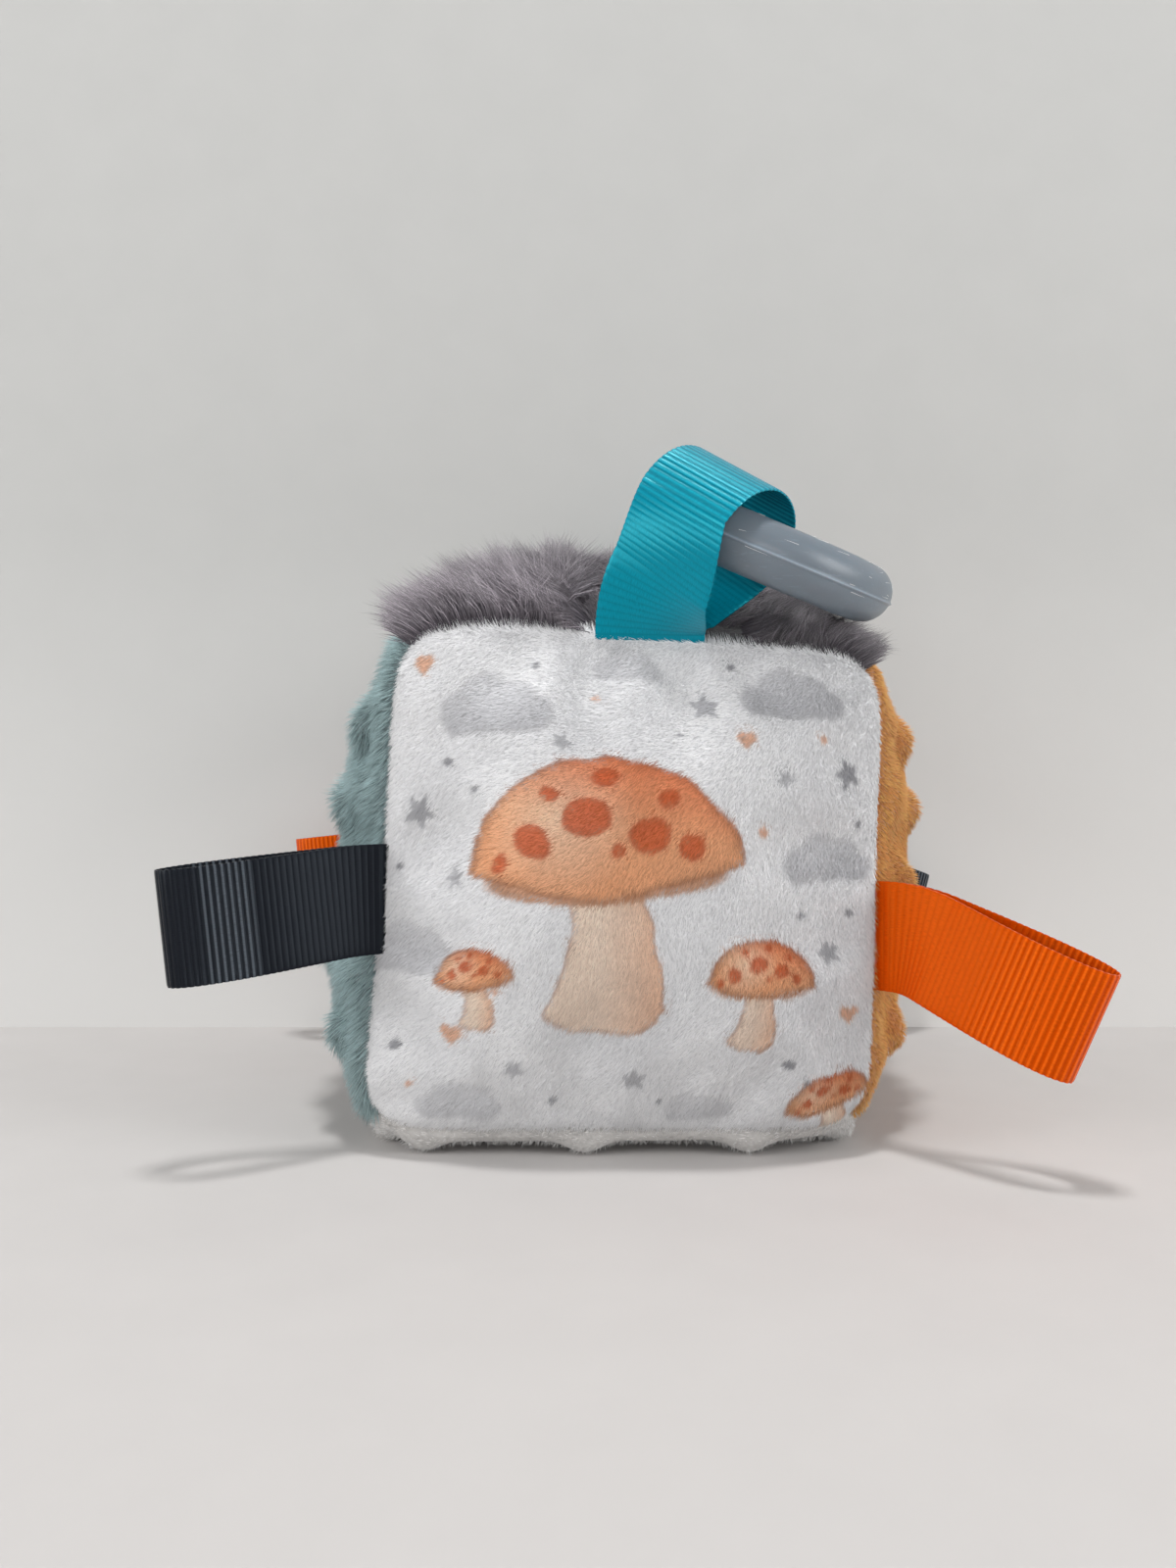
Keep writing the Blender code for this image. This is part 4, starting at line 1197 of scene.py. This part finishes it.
def strip_line(loop, step):
    """Evenly spaced points along the ribbon, from one sewn end round the fold to the other."""
    pinch = loop["pinch"]
    widest = math.acos(-pinch / (pinch + 2))
    peak = math.sin(widest) * math.sin(widest / 2) ** pinch
    width = (loop["gap"] + RIBBON) / 2 / peak
    turn = np.linspace(0, 2 * math.pi, 1200)
    out = loop["reach"] * (1 - np.cos(turn)) / 2
    across = width * np.sin(turn) * np.sin(turn / 2) ** pinch
    across = np.sign(np.sin(turn) + 1e-9) * np.hypot(across, APART)
    keep = slice(1, -1)
    out = np.concatenate([[-SEWN], out[keep], [-SEWN]])
    across = np.concatenate([[APART], across[keep], [-APART]])
    tip = np.argmax(out)
    near = np.abs(np.arange(len(out)) - tip) < TIP_STATIONS
    across = np.where(near, width * np.sin(np.concatenate([[0], turn[keep], [0]])), across)
    path = np.concatenate([[0], np.cumsum(np.hypot(np.diff(out), np.diff(across)))])
    stations = np.linspace(0, path[-1], int(path[-1] / step) + 1)
    return stations, np.interp(stations, path, out), np.interp(stations, path, across)


def ribbon_loop(name, loop, sizes, colour_material):
    step = sizes.rib_pitch / 8
    stations, out, across = strip_line(loop, step)
    half = RIBBON_WIDTH / 2
    columns = np.array(COLUMNS) * half
    bpy.ops.object.select_all(action="DESELECT")
    bpy.ops.mesh.primitive_grid_add(x_subdivisions=len(columns) - 1, y_subdivisions=len(stations) - 1, size=1)
    piece = bpy.context.object
    piece.name = name + "_ribbon_loop"
    mesh = piece.data
    spots = points_of(mesh)
    column = np.rint((spots[:, 0] + 0.5) * (len(columns) - 1)).astype(int)
    row = np.rint((spots[:, 1] + 0.5) * (len(stations) - 1)).astype(int)
    phase = stations[row] / sizes.rib_pitch
    rib = np.sqrt(1 - (2 * np.abs(phase - np.rint(phase))) ** 2 * 0.999)
    edge = np.abs(columns[column]) / half
    along = columns[column]
    along = along + np.sign(along) * sizes.selvedge * (rib - 1) * smooth_step(edge, 0.9, 1.0)
    droop, twist = math.radians(loop["droop"]), math.radians(loop["twist"])
    local = lay(out[row], across[row], along, droop, twist, loop["reach"])
    axes = np.array([loop["out"], loop["across"], loop["along"]])
    spots = local @ axes
    mitre = -np.array(sum((SIDES[side] for side in name.split("_")), Vector()).normalized())
    aside = np.cross(mitre, axes[2])
    aside *= np.sign(aside @ axes[1])
    sewn = out[row] < 0
    inside = -out[row][:, None] * mitre + across[row][:, None] * aside + along[:, None] * axes[2]
    place(mesh, np.array(loop["pivot"]) + np.where(sewn[:, None], inside, spots))
    low, high, end = loop["deep_ribs_and_painted_glint"]
    part = out[row] / loop["reach"]
    outer = smooth_step(part, low, high)
    write_floats(mesh, "rib", rib)
    # painted highlight: how strongly the rib crests are painted lighter at each point of the loop
    write_floats(mesh, "shine", outer * (1 - smooth_step(part, end - 0.05, end)))
    for layer in list(mesh.uv_layers):
        mesh.uv_layers.remove(layer)
    corner = np.empty(len(mesh.loops), np.int32)
    mesh.loops.foreach_get("vertex_index", corner)
    strip = stacked(along, stations[row])[corner].astype(np.float32)
    mesh.uv_layers.new(name="Ribbon").data.foreach_set("uv", strip.ravel())
    group = piece.vertex_groups.new(name="thick")
    shallow = 1 - 2 * sizes.rib_depth / RIBBON * (1 - rib) * (0.4 + 0.6 * outer)
    shallow = shallow * (1 - 0.45 * smooth_step(edge, 0.96, 1.0))
    for level in np.unique(np.round(shallow, 2)):
        group.add([int(i) for i in np.nonzero(np.abs(shallow - level) < 0.005)[0]], float(level), "REPLACE")
    apply_modifier(piece, "SOLIDIFY", thickness=RIBBON * WOVEN, offset=0.0, vertex_group="thick")
    select_only(piece)
    bpy.ops.object.shade_smooth_by_angle(angle=math.radians(60))
    wear(piece, colour_material)
    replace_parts(piece, name + "_loop", name + "_ribbon_end")
    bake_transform(piece)


class FABRICBLOCK_OT_ribbon_loops(Operator):
    """Weaves the six grosgrain ribbons, folds them and sews them in"""

    bl_idname = "fabricblock.ribbon_loops"
    bl_label = "Ribbon loops"

    def execute(self, context):
        block = context.scene.fabric_block
        finishes = {
            name: ribbon_material(name + "_ribbon", tuple(getattr(block.colours, name)), *glint)
            for name, glint in GLINTS.items()
        }
        for name, loop in LOOPS.items():
            ribbon_loop(name, loop, block.ribbon, finishes[loop["finish"]])
        return {"FINISHED"}


# ---- the ring


PARTING = 0.0004  # how far the ridge stands out where the mould parted
PARTING_WIDE = 0.00028
UNEVEN = 0.00008
LINT = 90
LINT_WIDE = 0.0001


class FABRICBLOCK_OT_teether_ring(Operator):
    """Moulds the silicone ring, with the thin ridge where the mould parted"""

    bl_idname = "fabricblock.teether_ring"
    bl_label = "Teether ring"

    def execute(self, context):
        colours = context.scene.fabric_block.colours
        low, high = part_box("teether_ring")
        radius = (RING_ACROSS - RING_TUBE) / 2
        centre = np.array((low + high) / 2)
        bpy.ops.object.select_all(action="DESELECT")
        bpy.ops.mesh.primitive_torus_add(
            major_segments=144, minor_segments=96, major_radius=radius, minor_radius=RING_TUBE / 2
        )
        ring = context.object
        ring.name = "silicone_ring"
        mesh = ring.data
        spots = points_of(mesh)
        turn = np.arctan2(spots[:, 1], spots[:, 0])
        angle = np.arctan2(spots[:, 2], np.hypot(spots[:, 0], spots[:, 1]) - radius)
        angle -= 0.45 * np.sin(2 * angle)
        height = RING_TUBE / 2 * np.sin(angle)
        ridge = np.exp(-((height / PARTING_WIDE) ** 2))
        write_floats(mesh, "ridge", ridge)
        far = RING_TUBE / 2 + PARTING * ridge + UNEVEN * drift(spots, 0.006, 61)
        outward = stacked(np.cos(turn), np.sin(turn), 0.0)
        spots = outward * (radius + far * np.cos(angle))[:, None]
        spots[:, 2] = far * np.sin(angle)
        turned = RING_FLAT.to_track_quat("Z", "Y").to_matrix()
        place(mesh, spots @ np.array(turned).T + centre)
        select_only(ring)
        bpy.ops.object.shade_smooth()
        wear(ring, silicone_material(tuple(colours.ring)))
        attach(ring, "ring")
        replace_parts(ring, "teether_ring")
        self.lint(context, centre, radius, turned)
        return {"FINISHED"}

    def lint(self, context, centre, radius, turned):
        """A few stray white fibres that cling to the silicone."""
        rng = np.random.default_rng(context.scene.fabric_block.pile.seed + 70)
        turn, angle = rng.uniform(0, 2 * math.pi, LINT), rng.uniform(-0.2, 1.9, LINT)
        outward = stacked(np.cos(turn), np.sin(turn), 0.0)
        normals = outward * np.cos(angle)[:, None] + np.array([0, 0, 1]) * np.sin(angle)[:, None]
        spots = outward * radius + normals * (RING_TUBE / 2 + 0.00004)
        way = stacked(-np.sin(turn), np.cos(turn), 0.0) * rng.choice([-1, 1], LINT)[:, None]
        way = unit(way + normals * 0.02 + outward * rng.normal(0, 0.5, (LINT, 1)))
        spots, normals, way = (rows @ np.array(turned).T for rows in (spots, normals, way))
        way = laid(way, normals)
        fibres(
            "ring_lint", spots + centre, way, unit(way - 0.12 * normals), rng.uniform(0.0015, 0.0055, LINT),
            np.full(LINT, LINT_WIDE), (0.0, 0.5), np.full((LINT, 3), 0.75), np.full((LINT, 3), 0.85),
            pile_material("lint", 0.5, 0.1), normals, 0.5, "ring",
        )


# ---- filling and seams


UNDER_COVER = 0.0021  # how far the filling lies under the cloth
UNDER_SEAM = 0.0115  # and how much deeper at the seams, clear of the allowances


class FABRICBLOCK_OT_filling_and_seams(Operator):
    """Sinks the filling under the cover and lets the seam threads follow the settled seams"""

    bl_idname = "fabricblock.filling_and_seams"
    bl_label = "Filling and seams"

    def execute(self, context):
        form = bpy.data.objects[FORM]
        mesh = form.data
        flat = read_vectors(mesh, "flat")
        normals = normals_of(mesh)
        spots = points_of(mesh)
        near = 1 - smooth_step(seam_distance(flat), 0.0, 0.011)
        inward = unit(np.array(MIDDLE) - spots)
        place(mesh, spots - normals * UNDER_COVER + inward * (near * UNDER_SEAM)[:, None])
        mesh.attributes.remove(mesh.attributes["panel"])
        form.vertex_groups.clear()
        smooth(mesh)
        wear(form, filling_material())
        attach(form, "block")
        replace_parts(form, "fibre_filling")
        thread = thread_material()
        for name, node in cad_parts.items():
            if not name.endswith("_seam_thread"):
                continue
            copy = new_object(name.replace("_thread", "_stitches"), node.data.copy())
            place(copy.data, settled(points_of(copy.data)))
            wear(copy, thread)
            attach(copy, "block")
            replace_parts(copy, name)
        return {"FINISHED"}


# ---- floor, wall, lamps and camera


WALL_DEPTH = 0.077  # from the block's middle to the wall
LAMPS = (  # name, size, power, place and target
    ("key", 0.14, 4.4, (0.0, -0.22, 1.0), (0.0, 0.0, 0.05)),
    ("softbox", 0.4, 5.4, (0.0, -1.1, 0.0), (0.0, 0.0, 0.06)),
    ("fill", 0.45, 4.0, (-0.8, -0.40, 0.35), (0.0, 0.0, 0.05)),
    ("fill", 0.45, 4.0, (0.8, -0.40, 0.35), (0.0, 0.0, 0.05)),
)
ROOM_LIGHT = 0.28
CAMERA_LENS = 27
CAMERA_PLACE = (-0.0094, -0.286, 0.075)


class FABRICBLOCK_OT_studio(Operator):
    """Sets up the pale floor and wall, the soft lamps and the camera"""

    bl_idname = "fabricblock.studio"
    bl_label = "Studio"

    def execute(self, context):
        bpy.ops.object.select_all(action="DESELECT")
        bpy.ops.mesh.primitive_plane_add(size=6, location=(0, 0, 0))
        floor = context.object
        floor.name = "floor"
        floor.data.materials.append(self.paper("floor_paper", shade(203, 200, 198)))
        bpy.ops.mesh.primitive_plane_add(size=6, location=(0, WALL_DEPTH, 0), rotation=(math.pi / 2, 0, 0))
        wall = context.object
        wall.name = "wall"
        bpy.ops.object.transform_apply(location=True, rotation=True)
        wall.data.materials.append(self.paper("wall_paper", shade(181, 181, 179), shade(213, 212, 210)))
        for lamp in LAMPS:
            self.lamp(*lamp)
        world = bpy.data.worlds.new("room")
        context.scene.world = world
        world.use_nodes = True
        background = world.node_tree.nodes["Background"]
        background.inputs["Color"].default_value = (0.97, 0.98, 1.0, 1)
        background.inputs["Strength"].default_value = ROOM_LIGHT
        camera = bpy.data.cameras.new("camera")
        camera.lens = CAMERA_LENS
        camera.sensor_width = 36
        camera.clip_start = 0.01
        viewer = bpy.data.objects.new("camera", camera)
        viewer.location = CAMERA_PLACE
        viewer.rotation_euler = (math.pi / 2, 0, 0)
        context.scene.collection.objects.link(viewer)
        context.scene.camera = viewer
        context.scene.view_settings.view_transform = "Standard"
        return {"FINISHED"}

    def paper(self, name, colour, foot=None):
        """Matt paper. With a foot colour it is a wall, clear from behind, with painted light that makes it
        paler towards the floor.
        """
        surface = Surface(name, roughness=0.9, specular_ior_level=0.1)
        place_in = surface.object_place()
        grain = surface.noise(place_in, 60, 2)
        tone = surface.ramp(grain, [(0.3, tuple(colour * 0.99)), (0.7, tuple(np.minimum(colour * 1.01, 1)))])
        if foot is None:
            surface.set(surface.shader, "Base Color", tone)
            return surface.material
        # painted light: the wall is painted paler near the floor
        height = surface.node("ShaderNodeSeparateXYZ", {0: place_in}).outputs["Z"]
        ends = {"Value": height, "From Min": 0.0, "From Max": 0.17, "To Min": 1.0, "To Max": 0.0}
        near = surface.node("ShaderNodeMapRange", ends, interpolation_type="SMOOTHSTEP").outputs["Result"]
        surface.set(surface.shader, "Base Color", surface.mixed(near, tone, tuple(foot)))
        behind = surface.node("ShaderNodeNewGeometry").outputs["Backfacing"]
        clear = surface.node("ShaderNodeBsdfTransparent").outputs[0]
        both = surface.node("ShaderNodeMixShader")
        for i, socket in enumerate((behind, surface.shader.outputs[0], clear)):
            surface.tree.links.new(socket, both.inputs[i])
        surface.tree.links.new(both.outputs[0], surface.tree.nodes["Material Output"].inputs[0])
        return surface.material

    def lamp(self, name, size, power, spot, target):
        data = bpy.data.lights.new(name, "AREA")
        data.shape = "DISK"
        data.size = size
        data.energy = power
        lamp = bpy.data.objects.new(name, data)
        lamp.location = spot
        lamp.rotation_euler = (Vector(target) - Vector(spot)).to_track_quat("-Z", "Y").to_euler()
        bpy.context.scene.collection.objects.link(lamp)


# ---- sidebar, registering and the run


STEPS = (
    FABRICBLOCK_OT_studio,
    FABRICBLOCK_OT_stuffed_form,
    FABRICBLOCK_OT_cover_panels,
    FABRICBLOCK_OT_printed_pile,
    FABRICBLOCK_OT_dimple_pile,
    FABRICBLOCK_OT_top_fur,
    FABRICBLOCK_OT_ribbon_loops,
    FABRICBLOCK_OT_teether_ring,
    FABRICBLOCK_OT_filling_and_seams,
)


class FABRICBLOCK_PT_sidebar(Panel):
    """Lists the steps that dress the fabric block"""

    bl_label = "Fabric block"
    bl_idname = "FABRICBLOCK_PT_sidebar"
    bl_space_type = "VIEW_3D"
    bl_region_type = "UI"
    bl_category = "Fabric block"

    def draw(self, context):
        block = context.scene.fabric_block
        for group in (block.pile, block.ribbon, block.colours):
            box = self.layout.box()
            for key in group.bl_rna.properties.keys():
                if key not in ("rna_type", "name"):
                    box.prop(group, key)
        for step in STEPS:
            self.layout.operator(step.bl_idname)


CLASSES = (FabricBlockPile, FabricBlockRibbon, FabricBlockColours, FabricBlock, *STEPS, FABRICBLOCK_PT_sidebar)


def register():
    for cls in CLASSES:
        bpy.utils.register_class(cls)
    bpy.types.Scene.fabric_block = PointerProperty(type=FabricBlock)


def unregister():
    del bpy.types.Scene.fabric_block
    for cls in reversed(CLASSES):
        bpy.utils.unregister_class(cls)


def main():
    register()
    for step in STEPS:
        group, call = step.bl_idname.split(".")
        getattr(getattr(bpy.ops, group), call)()
    for mesh in [m for m in bpy.data.meshes if m.name.endswith("_ground")]:
        bpy.data.meshes.remove(mesh)


if __name__ == "__main__":
    main()
